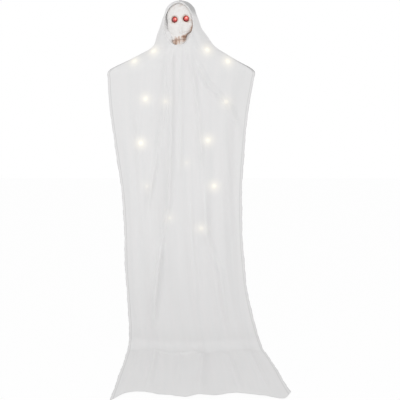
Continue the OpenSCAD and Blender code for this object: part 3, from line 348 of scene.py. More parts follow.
def clothPoint(side, u, run, inset):
    q = run / robe["frontRun"]
    arc = robe["bendRadius"] * np.pi / 2
    bend = np.pi / 2 * np.clip((run - robe["bendStart"]) / arc, 0, 1)
    flat = np.maximum(0, run - robe["bendStart"] - arc)
    if side < 0:
        flat = flat * (1 + robe["hemWave"] * smoothThrough(robe["hemRun"], u))
    away = robe["bendRadius"] * (1 - np.cos(bend)) + flat
    drop = np.where(run <= robe["bendStart"], robe["neckDrop"] + run,
                    robe["floorDrop"] - robe["bendRadius"] + robe["bendRadius"] * np.sin(bend))
    name = panelName(side)
    x = smoothThrough(robe[name + "Sweep"], run) + panelHalf(side, run) * u
    bulge = smoothThrough(robe[name + "Depth"], run) * (1 - u * u)
    lift = ease(robe["bendStart"], robe["bendStart"] + arc, run)
    fold = robe["foldDepth"] * smoothThrough(robe["foldShare"], run) * (1 - u ** robe["flatEdge"])
    fold = fold * (foldLines(side, u, q) + lift)
    out = robe["thick"] - inset + fold + clothFolds(side, u, run, x, drop)
    y = side * (away + robe["seamGap"] + bulge + out * np.cos(bend))
    return np.stack([x, y, -drop + out * np.sin(bend)], -1)


def raggedEdge(u, run, hand):  # torn edge of the gauze, in millimetres across
    wave = sum(size * np.sin(run / length + turned * hand + start) for size, length, turned, start in ragged["edge"])
    return hand * wave * ease(*ragged["edgeBand"], np.abs(u)) * ease(*ragged["edgeRun"], run)


def raggedHem(u, run, length):  # uneven hem, in millimetres along
    wave = sum(size * np.sin(count * u + start) for size, count, start in ragged["hem"])
    return wave * ease(length - ragged["hemRun"], length, run)


def glowThrough(side, x, drop):
    total = np.zeros_like(x)
    for place, shares in lights["through"].items():
        share = shares[0 if side < 0 else 1]
        for lx, ld, strength in lights[place]:
            away = (x - lx) ** 2 + (drop - ld) ** 2
            light = sum(gain * np.exp(-away / radius**2) for gain, radius in (lights["core"], lights["halo"]))
            total += share * strength * light
    return total


def clothUv(piece, flat):  # unrolled cloth in metres, for the weave
    layer = piece.data.uv_layers.new(name="cloth")
    corners = np.empty(len(piece.data.loops), int)
    piece.data.loops.foreach_get("vertex_index", corners)
    layer.data.foreach_set("uv", flat[corners].astype(np.float32).ravel())
    for other in [each for each in piece.data.uv_layers if each.name != "cloth"]:
        piece.data.uv_layers.remove(other)


def sheetNormals(piece):
    normals = np.empty(len(piece.data.vertices) * 3)
    piece.data.vertices.foreach_get("normal", normals)
    return normals.reshape(-1, 3)


def thicken(piece, wall, normals):  # gives a sheet its thickness and keeps the shading of the open sheet
    count = len(normals)
    applyModifier(piece, "SOLIDIFY", thickness=wall / 1000, offset=0.0)
    layers = readPoints(piece)
    outer = np.einsum("ij,ij->i", layers[:count] - layers[count:2 * count], normals) > 0
    turned = np.where(outer[:, None], normals, -normals)
    piece.data.normals_split_custom_set_from_vertices(np.concatenate([turned, -turned]).tolist())


def makeRobeHalf(name, side, hand):
    length = robe["frontRun"] if side < 0 else robe["backRun"]
    rows = int(robe["rows"] * length / robe["frontRun"])
    piece, grid = newGrid(name, robe["columns"], rows)
    u = (grid[:, 0] + hand) / 2
    run = (1 - grid[:, 1]) / 2 * length
    run = run + raggedHem(u, run, length)
    points = clothPoint(side, u, run, robe["thick"] / 2)
    points[:, 0] += raggedEdge(u, run, hand)
    writePoints(piece, points)
    du, dr = 0.002, 1  # steps for the slopes
    across = clothPoint(side, u + du, run, 0) - clothPoint(side, u - du, run, 0)
    along = clothPoint(side, u, run - dr, 0) - clothPoint(side, u, run + dr, 0)
    normals = np.cross(across, along) * (-side)
    normals /= np.linalg.norm(normals, axis=1)[:, None]
    half = panelHalf(side, run)
    clothUv(piece, np.stack([half * u, run], -1) / 1000)
    writeValues(piece, "glow", glowThrough(side, points[:, 0], -points[:, 2]) * (run < robe["bendStart"]))
    writeValues(piece, "border", half * (1 - np.abs(u)) / 1000)
    # painted shade along the shoulder edges, half as dark on the left
    first, full, fading, last = robe["shadeRun"]
    share = robe["shadeShare"][0 if hand < 0 else 1]
    writeValues(piece, "shoulder", share * ease(first, full, run) * (1 - ease(fading, last, run)))
    if side > 0:
        editWhole(piece, bpy.ops.mesh.flip_normals)
    makeActive(piece)
    bpy.ops.object.shade_smooth()
    thicken(piece, robe["wall"], normals)  # shading from the whole panel, so that its halves meet without a line
    return piece


robeHalves = {}
for robeName, robeSide, robeHand in (("robeFrontLeft", -1, -1), ("robeFrontRight", -1, 1),
                                     ("robeBackLeft", 1, -1), ("robeBackRight", 1, 1)):
    robeHalves[robeName] = makeRobeHalf(robeName, robeSide, robeHand)
print("robe panels:", [len(p.data.polygons) for p in robeHalves.values()])


hoodForm = {
    "top": 20.4, "end": 253.7, "half": 83, "front": (102, 105.9), "back": (86, 87.9), "shift": 17, "flare": 0.5,
    "hole": 0.0036, "seam": 1.00129,
    "width": [[0, 0], [0.01, 0.27], [0.06, 0.58], [0.15, 0.82], [0.26, 0.93], [0.38, 1.06], [0.55, 1.23], [0.71, 1.48],
              [0.88, 1.73], [0.95, 1.93], [1, 2.1205]],
    "depth": [[0, 0], [0.01, 0.3], [0.06, 0.67], [0.14, 0.9], [0.25, 1], [0.4, 1.02], [0.7, 1.01], [1, 1]],
    "flat": [[0, 0.5], [0.5, 0.5], [0.8, 0.65], [1, 1]],
    "opening": (-8, -144, 71, 103), "columns": 220, "rows": 120, "crowding": 1.5, "wall": 1.0,
    # the border value after the rim's waves sets how dark the painted shade over the brow is
    "rim": 2.6, "rimPlaces": 120, "rimWaves": [(0.16, 11, 0), (0.1, 23, 1)], "browShadeLevel": 0.0065, "plain": 0.2,
    "pleats": [(1.1, 9, 5, (0.12, 0.4), (0.75, 1.0)), (1.2, 16, 2, (0.3, 0.7), (0.85, 1.0))],
    "seamBlend": (0.45, 1.0), "meetBlend": (0.85, 1.0), "sideFade": (0, 0.1), "unrolled": (0.11, 0.33),
    "brow": ((-45, 35), (112, 66), (0, -45)), "cutLevels": (-0.2533, -0.03), "cutReach": 1.6, "weld": 0.00005,
}


def hoodSurface(s, a, extra):
    neck = ease(hoodForm["flare"], 1, s)
    shape = smoothThrough(hoodForm["depth"], s)
    width = hoodForm["half"] * smoothThrough(hoodForm["width"], s)
    front = (hoodForm["front"][0] + (hoodForm["front"][1] - hoodForm["front"][0]) * neck) * shape
    back = (hoodForm["back"][0] + (hoodForm["back"][1] - hoodForm["back"][0]) * neck) * shape
    facing = np.cos(a)
    depth = np.where(facing > 0, front, back)
    rounded = depth * np.abs(facing) ** (2 * smoothThrough(hoodForm["flat"], s))
    y = -np.sign(facing) * (rounded + extra * ease(*hoodForm["sideFade"], np.abs(facing)))
    drop = hoodForm["top"] + (hoodForm["end"] - hoodForm["top"]) * s
    return np.stack([width * np.sin(a) + hoodForm["shift"] * neck, y, -drop], -1)


def hoodFolds(s, a):  # meets the robe's folds at the neck seam
    u = np.sin(a)
    top = np.zeros_like(u)
    x = robe["half"][0][1] * u + robe["frontSweep"][0][1]
    drop = np.full_like(u, robe["neckDrop"])
    seam = np.where(np.cos(a) > 0, clothFolds(-1, u, top, x, drop), clothFolds(1, u, top, x, drop))
    folds = seam * ease(*hoodForm["seamBlend"], s)
    for height, count, lean, start, end in hoodForm["pleats"]:
        folds = folds + height * (1 + np.cos(count * a + lean * s)) * ease(*start, s) * (1 - ease(*end, s))
    meet = (robe["seamGap"] + robe["thick"]) * u * u * ease(*hoodForm["meetBlend"], s)  # the robe's own edge
    return folds + meet - robe["thick"] / 2


def hoodPoint(s, a):
    return hoodSurface(s, a, hoodFolds(s, a))


def rimDepth(x, z):  # y of the hood's front at a place in the opening's outline
    s = (-z - hoodForm["top"]) / (hoodForm["end"] - hoodForm["top"])
    width = hoodForm["half"] * smoothThrough(hoodForm["width"], s)
    a = np.arcsin(np.clip((x - hoodForm["shift"] * ease(hoodForm["flare"], 1, s)) / width, -1, 1))
    return hoodPoint(s, a)[..., 1]


def makeHood():
    piece, grid = newGrid("hoodCloth", hoodForm["columns"], hoodForm["rows"])
    a = grid[:, 0] * np.pi
    s = hoodForm["hole"] + (hoodForm["seam"] - hoodForm["hole"]) * ((1 - grid[:, 1]) / 2) ** hoodForm["crowding"]
    points = hoodPoint(s, a)
    x, y, z = points.T
    writePoints(piece, points)
    clothUv(piece, np.stack([a, s], -1) * hoodForm["unrolled"])
    writeValues(piece, "glow", np.where(np.cos(a) > 0, glowThrough(-1, x, -z), glowThrough(1, x, -z)))
    # one border value all over, which sets the depth of the painted shade over the brow
    writeValues(piece, "border", np.full(len(points), hoodForm["browShadeLevel"]))
    across, down, back = hoodForm["brow"]
    writeValues(piece, "shoulder", ease(*across, x) * ease(*down, -z) * ease(*back, y))  # painted shade over the brow, darker on the right, on the front only
    cx, cz, rx, rz = hoodForm["opening"]
    inside = (((x - cx) / rx) ** 2 + ((z - cz) / rz) ** 2 < 1) & (y < 0)
    lowest, highest = hoodForm["cutLevels"]
    mesh = bmesh.new()
    mesh.from_mesh(piece.data)
    mesh.verts.ensure_lookup_table()
    bmesh.ops.delete(mesh, geom=[v for v in mesh.verts if inside[v.index]], context="VERTS")
    for v in mesh.verts:  # draw the cut edge on to the outline
        if v.is_boundary and v.co.y < 0 and lowest < v.co.z < highest:
            vx, vz = v.co.x * 1000, v.co.z * 1000
            size = math.hypot((vx - cx) / rx, (vz - cz) / rz)
            if size < hoodForm["cutReach"]:
                vx, vz = cx + (vx - cx) / size, cz + (vz - cz) / size
                v.co = (vx / 1000, float(rimDepth(np.array(vx), np.array(vz))) / 1000, vz / 1000)
    bmesh.ops.remove_doubles(mesh, verts=mesh.verts, dist=hoodForm["weld"])
    bmesh.ops.dissolve_degenerate(mesh, edges=mesh.edges, dist=hoodForm["weld"])
    mesh.to_mesh(piece.data)
    mesh.free()
    makeActive(piece)
    bpy.ops.object.shade_smooth()
    thicken(piece, hoodForm["wall"], sheetNormals(piece))
    return piece


def openingLine(count):  # places round the face opening, on the hood
    cx, cz, rx, rz = hoodForm["opening"]
    turn = np.linspace(0, 2 * np.pi, count, endpoint=False)
    x, z = cx + rx * np.cos(turn), cz + rz * np.sin(turn)
    return turn, np.stack([x, rimDepth(x, z), z], -1)


def plainClothValues(piece):  # no glow, no painted shade, and far from a stitched edge
    count = len(piece.data.vertices)
    writeValues(piece, "glow", np.zeros(count))
    writeValues(piece, "border", np.full(count, hoodForm["plain"]))
    writeValues(piece, "shoulder", np.zeros(count))


def makeHoodRim():  # rolled edge round the face
    turn, line = openingLine(hoodForm["rimPlaces"])
    bpy.ops.curve.primitive_bezier_circle_add()
    piece = bpy.context.object
    piece.name = piece.data.name = "hoodRim"
    outline = piece.data
    outline.splines.clear()
    spline = outline.splines.new("POLY")
    spline.points.add(len(turn) - 1)
    thick = 1 + sum(size * np.sin(count * turn + start) for size, count, start in hoodForm["rimWaves"])
    for point, place, size in zip(spline.points, line / 1000, thick):
        point.co = (*place, 1)
        point.radius = size
    spline.use_cyclic_u = True
    outline.dimensions = "3D"
    outline.bevel_depth = hoodForm["rim"] / 1000
    outline.bevel_resolution = 3
    makeActive(piece)
    bpy.ops.object.convert(target="MESH")
    bpy.ops.object.shade_smooth()
    piece = bpy.context.object
    plainClothValues(piece)
    places = readPoints(piece) / 1000
    clothUv(piece, np.stack([places[:, 0], places[:, 2]], -1))
    return piece


hood = makeHood()
hoodRim = makeHoodRim()
print("hood:", len(hood.data.polygons), "faces")


# skull: finer, rounded copies of the moulded shells
skull = {"yaw": -2, "roll": -4, "rollLevel": 60, "voxel": 0.0013, "rounding": 5, "weld": 0.00002, "mouth": -12,
         "archHalf": 36.2, "toothStep": 10.833, "lowerBite": 217.5, "meet": 0.9, "meetFade": 7}
faceWashAndShade = {  # brown wash on the face, with painted shade in the eye sockets and a painted shadow of the hood across the brow, in millimetres
    "strokes": [0.2, 0.3, 0.2, 0.95, 0.8, 0.1, 0.7, 0.05, 0.45, 1.0, 0.9, 0.3, 0.2],  # in each gap between teeth
    "low": (204, -0.29, -6, 4), "high": (234, -0.41, -6, 8),  # ends of the strokes, which hang lower on the left
    "mouth": (175, 190), "front": (-16, -34), "arch": (36, 50), "sharp": 1.3, "teeth": (0.16, 0.95),
    "gum": (0.3, 203, 3.5), "nose": (0.2, 7, 4.0, 184, 5.0), "socketShade": (0.4, 27.5, 121, 20.0), "brow": (0.09, 70, 105),
}


def copySolid(node, name, voxel=None, rounding=0):
    piece = bpy.data.objects.new(name, nodes[node].data.copy())
    piece.data.name = name
    bpy.context.scene.collection.objects.link(piece)
    makeActive(piece)
    bpy.ops.mesh.customdata_custom_splitnormals_clear()
    editWhole(piece, bpy.ops.mesh.remove_doubles, threshold=skull["weld"])
    if voxel:
        applyModifier(piece, "REMESH", mode="VOXEL", voxel_size=voxel, use_smooth_shade=True)
    if rounding:
        applyModifier(piece, "SMOOTH", factor=0.5, iterations=rounding)
    return piece


def skullFrame(points):  # places seen straight on to the face
    yaw, roll = math.radians(-skull["yaw"]), math.radians(skull["roll"])
    x = points[:, 0] * math.cos(yaw) - points[:, 1] * math.sin(yaw)
    y = points[:, 0] * math.sin(yaw) + points[:, 1] * math.cos(yaw)
    z = points[:, 2] + skull["rollLevel"]
    return np.stack([x * math.cos(roll) - z * math.sin(roll), y,
                     x * math.sin(roll) + z * math.cos(roll) - skull["rollLevel"]], -1)


def washAndShadeOf(points):  # brown wash left in the hollows, between the teeth and along the jaw, with painted shade in the eye sockets and a painted shadow of the hood across the brow
    x, y, z = skullFrame(points).T
    drop = -z
    across = x - skull["mouth"] * ease(*faceWashAndShade["mouth"], drop)  # from the middle of the mouth
    front = ease(*faceWashAndShade["front"], y)
    tooth = np.degrees(np.arcsin(np.clip(across / skull["archHalf"], -1, 1))) / skull["toothStep"]
    outermost = len(faceWashAndShade["strokes"]) // 2
    stroke = np.interp(tooth, np.arange(-outermost, outermost + 1), faceWashAndShade["strokes"])
    between = stroke * (0.5 + 0.5 * np.cos(2 * np.pi * tooth)) ** faceWashAndShade["sharp"]
    begins, ends = ((level + slope * across + start, level + slope * across + end)
                    for level, slope, start, end in (faceWashAndShade["low"], faceWashAndShade["high"]))
    span = ease(*begins, drop) * (1 - ease(*ends, drop))
    share, level, width = faceWashAndShade["gum"]
    gums = share * stroke * np.exp(-(((drop - level) / width) ** 2))
    base, more = faceWashAndShade["teeth"]
    teeth = front * (1 - ease(*faceWashAndShade["arch"], np.abs(across))) * (span * (base + more * between) + gums)
    share, place, width, level, height = faceWashAndShade["nose"]
    nose = share * np.exp(-(((np.abs(x) - place) / width) ** 2) - ((drop - level) / height) ** 2) * front
    # painted shade in the eye sockets
    share, place, level, width = faceWashAndShade["socketShade"]
    socketShade = share * np.exp(-((np.hypot(np.abs(x) - place, drop - level) / width) ** 4)) * front
    # painted shadow of the hood across the top of the brow
    share, full, last = faceWashAndShade["brow"]
    return np.clip(teeth + nose + socketShade + share * (1 - ease(full, last, drop)), 0, 1)


def meetTeeth(piece):  # the rounded lower teeth rise to the upper ones
    points = readPoints(piece)
    drop = -skullFrame(points)[:, 2]
    points[:, 2] += skull["meet"] * (1 - ease(skull["lowerBite"], skull["lowerBite"] + skull["meetFade"], drop))
    writePoints(piece, points)


skullPieces = {}
for skullNode, skullName, skullSlot in (("skull_face", "skullFace", "skull_shell"),
                                        ("skull_back", "skullBack", "skull_shell"),
                                        ("lower_jaw", "lowerJaw", "jaw_shell")):
    skullPieces[skullName] = copySolid(skullNode, skullName, skull["voxel"], skull["rounding"])
    if skullName == "lowerJaw":
        meetTeeth(skullPieces[skullName])
    writeValues(skullPieces[skullName], "stainAndShade", washAndShadeOf(readPoints(skullPieces[skullName])))
    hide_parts(skullNode)
    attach(skullPieces[skullName], "head")
print("skull:", [len(p.data.polygons) for p in skullPieces.values()])


edging = {"places": 160, "rows": 6, "lap": (1.5, 3.5, 6.0), "lapLean": 0.35, "chin": 0.8, "chinLap": 0.3, "lift": 0.7,
          "reach": 0.1, "spare": 0.03, "least": 0.003, "clear": 0.0012, "leans": (0.2, 2.6, 25), "evened": 10,
          "deep": (0.03, 0.016), "right": (-30, 40), "smoothed": 3, "unrolled": (0.085, 0.005), "wall": 0.8,
          "weld": 0.00001}


def makeFaceEdging():  # cloth turned in from the rim, its edge lying on the cheeks and the chin
    shells = []
    for shell in (skullPieces["skullFace"], skullPieces["lowerJaw"]):
        corners = [v.co.copy() for v in shell.data.vertices]
        shells.append(BVHTree.FromPolygons(corners, [tuple(p.vertices) for p in shell.data.polygons]))
    turn, line = openingLine(edging["places"])
    cx, cz, rx, rz = hoodForm["opening"]
    inward = [Vector(((cx - x) / rx, 0, (cz - z) / rz)) for x, y, z in line]

    def reachShell(i, lean):
        way = (Vector((0, 1, 0)) + float(lean) * inward[i]).normalized()
        hits = [tree.ray_cast(Vector(line[i]) / 1000, way, edging["reach"])[3] for tree in shells]
        hits = [h for h in hits if h is not None]
        return way, min(hits) if hits else None

    leans = []
    for i in range(len(inward)):  # the straightest way back that meets the face soon enough
        tries = [(lean, reachShell(i, lean)[1]) for lean in np.linspace(*edging["leans"])]
        tries = [found for found in tries if found[1]] or [(edging["leans"][0], edging["spare"])]
        deep = edging["deep"][0] + edging["deep"][1] * ease(*edging["right"], line[i][0])  # deeper on the right
        near = [found for found in tries if found[1] < deep]
        leans.append(near[0][0] if near else min(tries, key=lambda found: found[1])[0])
    leans = np.array(leans)
    for _ in range(edging["evened"]):  # even out from place to place
        leans = np.maximum(leans, (np.roll(leans, 1) + leans + np.roll(leans, -1)) / 3)
    columns = []
    for i, lean in enumerate(leans):
        way, length = reachShell(i, lean)
        length = max(edging["least"], length - edging["clear"]) if length else edging["spare"]
        start = Vector(line[i]) / 1000
        column = [start + way * length * k / edging["rows"] for k in range(edging["rows"] + 1)]
        onward = (inward[i] + Vector((0, edging["lapLean"], 0))).normalized()
        for lap in edging["lap"]:  # on along the face, a little above it, and less at the chin
            lap = lap * (edging["chinLap"] if inward[i].z > edging["chin"] else 1.0)
            aim = column[edging["rows"]] + onward * lap / 1000
            near = min((tree.find_nearest(aim) for tree in shells), key=lambda found: found[3])
            column.append(near[0] + near[1] * edging["lift"] / 1000)
        columns.append([tuple(point) for point in column])
    columns = np.array(columns)
    last, laps = columns.shape[1] - 1, len(edging["lap"])
    for _ in range(edging["smoothed"]):  # smooth the lap round the face
        columns[:, -laps:] = (np.roll(columns, 1, 0) + 2 * columns + np.roll(columns, -1, 0))[:, -laps:] / 4
    piece, grid = newGrid("faceEdging", len(turn), last)
    column = np.rint((grid[:, 0] + 1) / 2 * len(turn)).astype(int) % len(turn)
    row = np.rint((grid[:, 1] + 1) / 2 * last).astype(int)
    writePoints(piece, columns[column, row] * 1000)
    clothUv(piece, np.stack([turn[column], row], -1) * edging["unrolled"])
    editWhole(piece, bpy.ops.mesh.remove_doubles, threshold=edging["weld"])
    bpy.ops.object.shade_smooth()
    thicken(piece, edging["wall"], sheetNormals(piece))
    plainClothValues(piece)
    return piece, columns[:, -1] * 1000


# brown wash along the cloth's edge, and a wide painted shade on the right cheek
edgeWashAndCheekShade = {"right": (-20, 20), "near": (0.2, 0.2, 5.0), "wide": (0.34, 17.0), "from": (105, 160), "to": (203, 216)}


def addEdgeWashAndCheekShade(piece, edge):  # brown wash along the cloth's edge, more on the right, and a wide painted shade over the right cheek, the side away from the key light
    points = readPoints(piece)
    away = np.min([np.linalg.norm(points - place, axis=1) for place in edge], axis=0)
    drop, right = -points[:, 2], ease(*edgeWashAndCheekShade["right"], points[:, 0])
    base, more, near = edgeWashAndCheekShade["near"]
    share, wide = edgeWashAndCheekShade["wide"]
    # the first term is the wash along the edge, the second the painted shade on the right cheek
    gathered = (base + more * right) * np.exp(-((away / near) ** 2)) + share * right * np.exp(-((away / wide) ** 2))
    gathered = gathered * ease(*edgeWashAndCheekShade["from"], drop) * (1 - ease(*edgeWashAndCheekShade["to"], drop))
    writeValues(piece, "stainAndShade", np.clip(washAndShadeOf(points) + gathered, 0, 1))


faceEdging, faceLine = makeFaceEdging()
for piece in (skullPieces["skullFace"], skullPieces["lowerJaw"]):
    addEdgeWashAndCheekShade(piece, faceLine)
print("face edging:", len(faceEdging.data.polygons), "faces")


# light strings: round copies
strings = {"left_wire": "leftWire", "left_bulbs": "leftBulbs", "right_wire": "rightWire", "right_bulbs": "rightBulbs"}
stringPieces = {}
for stringNode, stringName in strings.items():
    stringPieces[stringName] = copySolid(stringNode, stringName)
    makeActive(stringPieces[stringName])
    bpy.ops.object.shade_smooth_by_angle(angle=math.radians(50))
    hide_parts(stringNode)
print("light strings copied")


# finishes
def makeGauze():
    thread, streak = 0.0034, (0.02, 0.4)  # threads drawn coarser than the real 1 mm so that they show
    finish, tree, shader = newFinish("white cotton gauze", Roughness=0.95, Sheen_Weight=0.1, Sheen_Roughness=0.6,
                                     Specular_IOR_Level=0.1, Emission_Color=linear("#FFF0C4"))

    def painted(name):
        return addNode(tree, "ShaderNodeAttribute", attribute_name=name).outputs["Fac"]

    def multiplied(first, second, factor):
        mixed = addNode(tree, "ShaderNodeMix", {"Factor": factor, 6: first, 7: second}, data_type="RGBA",
                        blend_type="MULTIPLY")
        return mixed.outputs[2]

    uv = addNode(tree, "ShaderNodeUVMap", uv_map="cloth").outputs["UV"]
    ribs = {"Vector": uv, "Scale": 2 * math.pi / (20 * thread), "Distortion": 1.5, "Detail": 1.0, "Detail Scale": 0.4}
    warp, weft = (addNode(tree, "ShaderNodeTexWave", ribs, bands_direction=way).outputs["Fac"] for way in "XY")
    weave = addNode(tree, "ShaderNodeMath", {0: warp, 1: weft}, operation="ADD").outputs[0]
    stretched = addNode(tree, "ShaderNodeMapping", {"Vector": uv, "Scale": (1 / streak[0], 1 / streak[1], 1)})
    crinkle = addNoise(tree, stretched.outputs["Vector"], 1.0, 2.0)
    tone = addRamp(tree, crinkle, [(0.25, "#E9E9E9"), (0.75, "#ECEBEB")])
    border = painted("border")
    hem = addRamp(tree, border, [(0.0, "#E2E2E2"), (0.004, "#FFFFFF"), (0.0095, "#FFFFFF"), (0.0125, "#E8E8E8"),
                                 (0.0155, "#FFFFFF")])  # stitched side seams: dark edge and a second line inside
    along = addNode(tree, "ShaderNodeSeparateXYZ", {"Vector": uv}).outputs["Y"]
    length = addNode(tree, "ShaderNodeMapRange", {"Value": along, "From Min": 0.0, "From Max": 2.0}).outputs["Result"]
    floorShade = addRamp(tree, length, [(0.4, "#FFFFFF"), (0.68, "#FCFCFC"), (0.742, "#F7F7F7"), (0.775, "#FBFBFB"),
                                    (1.0, "#F9F9F9")])  # painted shade: a little darker towards the floor, darkest where the cloth bends on to the floor
    shadeTone = addRamp(tree, border, [(0.0, "#A4A4A4"), (0.006, "#CFCFCF"), (0.016, "#FFFFFF")])  # painted shade along the shoulder edges and over the hood's brow
    # the cloth's own tone and stitched seams, times the painted shade towards the floor
    toneSeamsAndShade = multiplied(multiplied(tone, hem, 1.0), floorShade, 1.0)
    threads = addBump(tree, 0.25, 0.0004, weave)
    feed(tree, shader, Base_Color=multiplied(toneSeamsAndShade, shadeTone, painted("shoulder")), Emission_Strength=painted("glow"),
         Normal=addBump(tree, 0.12, 0.0015, crinkle, Normal=threads))
    return finish


def objectPlace(tree):
    return addNode(tree, "ShaderNodeTexCoord").outputs["Object"]


def makeBone(name, pale, brown, deep):
    finish, tree, shader = newFinish(name, Roughness=0.55, Specular_IOR_Level=0.35)
    place = objectPlace(tree)
    grime, pits = addNoise(tree, place, 60.0, 5.0), addNoise(tree, place, 420.0, 2.0)
    # brown wash, with the painted shade and shadow, read from the shell's attribute
    stainAndShade = addNode(tree, "ShaderNodeAttribute", attribute_name="stainAndShade").outputs["Fac"]
    broken = addNode(tree, "ShaderNodeMath", {0: grime, 1: 0.5, 2: -0.25}, operation="MULTIPLY_ADD")
    total = addNode(tree, "ShaderNodeMath", {0: stainAndShade, 1: broken.outputs[0]}, operation="ADD")
    feed(tree, shader, Base_Color=addRamp(tree, total.outputs[0], [(0.08, pale), (0.45, brown), (1.0, deep)]),
         Normal=addBump(tree, 0.25, 0.0005, pits))
    return finish


def makePlastic(name, low, high, roughness, grain):  # moulded plastic with a fine spark-eroded grain
    finish, tree, shader = newFinish(name, Specular_IOR_Level=0.45)
    place = objectPlace(tree)
    mottle, fine = addNoise(tree, place, 90.0, 3.0), addNoise(tree, place, grain, 2.0)
    feed(tree, shader, Base_Color=addRamp(tree, mottle, [(0.3, low), (0.7, high)]),
         Roughness=addSpread(tree, fine, roughness, 0.08), Normal=addBump(tree, 0.2, 0.0002, fine))
    return finish


def makeMetal(name, low, high, roughness, stretch):  # drawn or turned metal, streaked along its length
    finish, tree, shader = newFinish(name, Metallic=1.0)
    drawn = addNode(tree, "ShaderNodeMapping", {"Vector": objectPlace(tree), "Scale": stretch})
    lines = addNoise(tree, drawn.outputs["Vector"], 1.0, 4.0)
    feed(tree, shader, Base_Color=addRamp(tree, lines, [(0.3, low), (0.7, high)]),
         Roughness=addSpread(tree, lines, roughness, 0.1), Normal=addBump(tree, 0.15, 0.0002, lines))
    return finish


def makeRedLens(name, node, across, up):  # tinted acrylic lit from behind, with a painted highlight a little off the middle and painted shade towards the rim, in both the base colour and the emission
    finish, tree, shader = newFinish(name, Roughness=0.12, Coat_Weight=0.4, Coat_Roughness=0.06, Emission_Strength=0.5)
    low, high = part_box(node)
    highlightSpot = ((low.x + high.x) / 2 + across, low.y, (low.z + high.z) / 2 + up)
    place = objectPlace(tree)
    away = addNode(tree, "ShaderNodeVectorMath", {0: place, 1: highlightSpot}, operation="DISTANCE").outputs["Value"]
    swirl = addNoise(tree, place, 160.0, 2.0)
    share = addNode(tree, "ShaderNodeMath", {0: swirl, 1: 0.003, 2: away}, operation="MULTIPLY_ADD").outputs[0]
    spread = addNode(tree, "ShaderNodeMapRange", {"Value": share, "From Min": 0.0015, "From Max": 0.0235})
    # painted highlight at the spot, painted shade towards the rim
    red = addRamp(tree, spread.outputs["Result"], [(0.0, "#FFE3DC"), (0.14, "#F2958A"), (0.32, "#CE4A44"),
                                                   (0.6, "#86201F"), (1.0, "#3E1113")])
    feed(tree, shader, Base_Color=red, Emission_Color=red)
    return finish


def makeBulb():  # clear resin bead round a warm chip
    finish, tree, shader = newFinish("warm clear resin", Base_Color=linear("#FFF4D6"), Roughness=0.15,
                                     Emission_Strength=1.6)
    cloud = addNoise(tree, objectPlace(tree), 300.0, 2.0)
    feed(tree, shader, Emission_Color=addRamp(tree, cloud, [(0.3, "#FFE9B8"), (0.7, "#FFF8E6")]))
    return finish


gauze = makeGauze()
bone = makeBone("off-white painted skull moulding", "#F0EEEC", "#CFB09C", "#7A4C38")
jawBone = makeBone("stained jaw moulding", "#ECE6E1", "#C8A389", "#744835")
finishes = {
    "hanger_plastic": makePlastic("satin nylon", "#D6D6D5", "#DEDEDD", 0.45, 1500.0),
    "white_plastic": makePlastic("white moulded casing", "#E6E6E3", "#EEEEEC", 0.5, 1800.0),
    "grey_plastic": makePlastic("grey glass-filled nylon", "#2E2E30", "#3B3B3E", 0.55, 1400.0),
    "black_plastic": makePlastic("black acetal", "#0E0E0E", "#161616", 0.4, 1600.0),
    "wire_jacket": makePlastic("ivory wire jacket", "#DEDCCF", "#E8E6DA", 0.45, 2000.0),
    "cell_jacket": makePlastic("plain green cell sleeve", "#123822", "#174A2D", 0.3, 900.0),
    "board": makePlastic("green circuit laminate", "#174F2C", "#1E6338", 0.4, 1200.0),
    "steel": makeMetal("zinc-plated steel tube", "#A9ABAD", "#C9CBCC", 0.32, (900, 900, 12)),
    "black_screw": makeMetal("black oxide screw", "#1B1B1C", "#2A2A2C", 0.45, (700, 700, 700)),
    "contact_metal": makeMetal("nickel-plated spring strip", "#B9AE92", "#D2C8AE", 0.28, (60, 900, 900)),
    "red_lens": makeRedLens("left red tinted acrylic", "left_eye_lens", 0.0055, 0.004),
    "warm_bulb": makeBulb(),
    "skull_shell": bone, "jaw_shell": jawBone, "robe_cloth": gauze,
}
for subpart in frame["record"]["subparts"]:
    solid = nodes[subpart["node"]]
    for place in solid.material_slots:
        place.material = finishes[subpart["material_slot"]]
rightRed = makeRedLens("right red tinted acrylic", "right_eye_lens", 0.0005, 0.005)
for place in nodes["right_eye_lens"].material_slots:
    place.material = rightRed
for piece in (skullPieces["skullFace"], skullPieces["skullBack"]):
    dress(piece, bone)
dress(skullPieces["lowerJaw"], jawBone)
for stringName, piece in stringPieces.items():
    dress(piece, finishes["wire_jacket" if "Wire" in stringName else "warm_bulb"])
for piece in [*robeHalves.values(), hood, hoodRim, faceEdging]:
    dress(piece, gauze)
print("finishes assigned")


# cloth and light strings: places baked into their meshes, and the CAD cloth hidden
for side, sign in (("left", -1), ("right", 1)):
    for piece in (robeHalves["robeFront" + side.title()], robeHalves["robeBack" + side.title()],
                  stringPieces[side + "Wire"], stringPieces[side + "Bulbs"]):
        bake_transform(piece)
for piece in (hood, hoodRim, faceEdging):
    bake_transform(piece)
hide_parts("robe_front")
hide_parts("robe_front")
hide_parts("robe_back")
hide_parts("robe_back")
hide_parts("hood")
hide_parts("hood")
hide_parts("hood")


# floor, light and white surround
studio = {"floor": -1.7522, "sheet": 30, "paper": (0.78, 0.78, 0.78, 1), "share": 0.97, "ambient": 0.735}
lamps = {  # place, aim, power and size
    "key": ((-2.2, -2.6, -0.1), (0, 0, -0.7), 22.5, 1.6),
    "fill": ((2.4, -2.4, -0.2), (0, 0, -0.7), 17.5, 2.0),
    "top": ((0, -0.4, 2.2), (0, 0, -0.8), 2.0, 2.0),
}


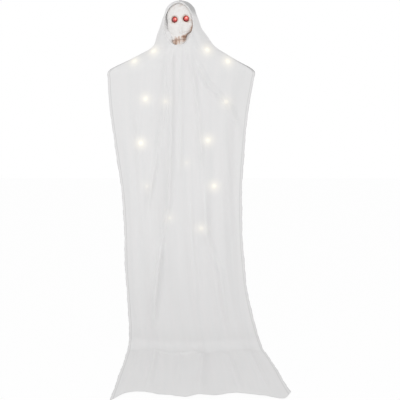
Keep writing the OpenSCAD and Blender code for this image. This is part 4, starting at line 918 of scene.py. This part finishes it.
def seenStraight(tree):  # 1 for rays that show the surround itself, 0 for those that only gather its light
    path = addNode(tree, "ShaderNodeLightPath").outputs
    seen = path["Is Camera Ray"]
    for kind in ("Is Glossy Ray", "Is Transmission Ray"):
        seen = addNode(tree, "ShaderNodeMath", {0: seen, 1: path[kind]}, operation="MAXIMUM").outputs[0]
    return seen


def makeStage():
    bpy.ops.mesh.primitive_plane_add(size=studio["sheet"], location=(0, 0, 0))
    floor = bpy.context.object
    floor.name = "floorSheet"
    points = readPoints(floor)
    points[:, 2] = studio["floor"] * 1000
    writePoints(floor, points)
    finish = bpy.data.materials.new("white paper floor")
    finish.use_nodes = True
    tree = finish.node_tree
    tree.nodes.clear()
    share = addNode(tree, "ShaderNodeMath", {0: seenStraight(tree), 1: studio["share"]}, operation="MULTIPLY")
    paper = addNode(tree, "ShaderNodeBsdfDiffuse", {"Color": studio["paper"]})
    white = addNode(tree, "ShaderNodeEmission", {"Strength": 1.0})
    mixed = addNode(tree, "ShaderNodeMixShader", {0: share.outputs[0], 1: paper.outputs[0], 2: white.outputs[0]})
    addNode(tree, "ShaderNodeOutputMaterial", {"Surface": mixed.outputs[0]})
    dress(floor, finish)


def makeWorld():
    world = bpy.data.worlds.new("studio")
    bpy.context.scene.world = world
    world.use_nodes = True
    tree = world.node_tree
    tree.nodes.clear()
    dim, white = (addNode(tree, "ShaderNodeBackground", {"Color": (1, 1, 1, 1), "Strength": strength})
                  for strength in (studio["ambient"], 1.0))
    mixed = addNode(tree, "ShaderNodeMixShader", {0: seenStraight(tree), 1: dim.outputs[0], 2: white.outputs[0]})
    addNode(tree, "ShaderNodeOutputWorld", {"Surface": mixed.outputs[0]})


def addLamp(name, place, target, power, size):
    dx, dy, dz = (b - a for a, b in zip(place, target))
    turn = (math.atan2(math.hypot(dx, dy), -dz), 0, math.atan2(-dx, dy))
    bpy.ops.object.light_add(type="AREA", location=place, rotation=turn)
    lamp = bpy.context.object
    lamp.name = name
    lamp.data.energy = power
    lamp.data.shape = "DISK"
    lamp.data.size = size


makeStage()
makeWorld()
for lampName, lampSettings in lamps.items():
    addLamp(lampName, *lampSettings)
bpy.context.scene.view_settings.view_transform = "Standard"
print("stage and light set")
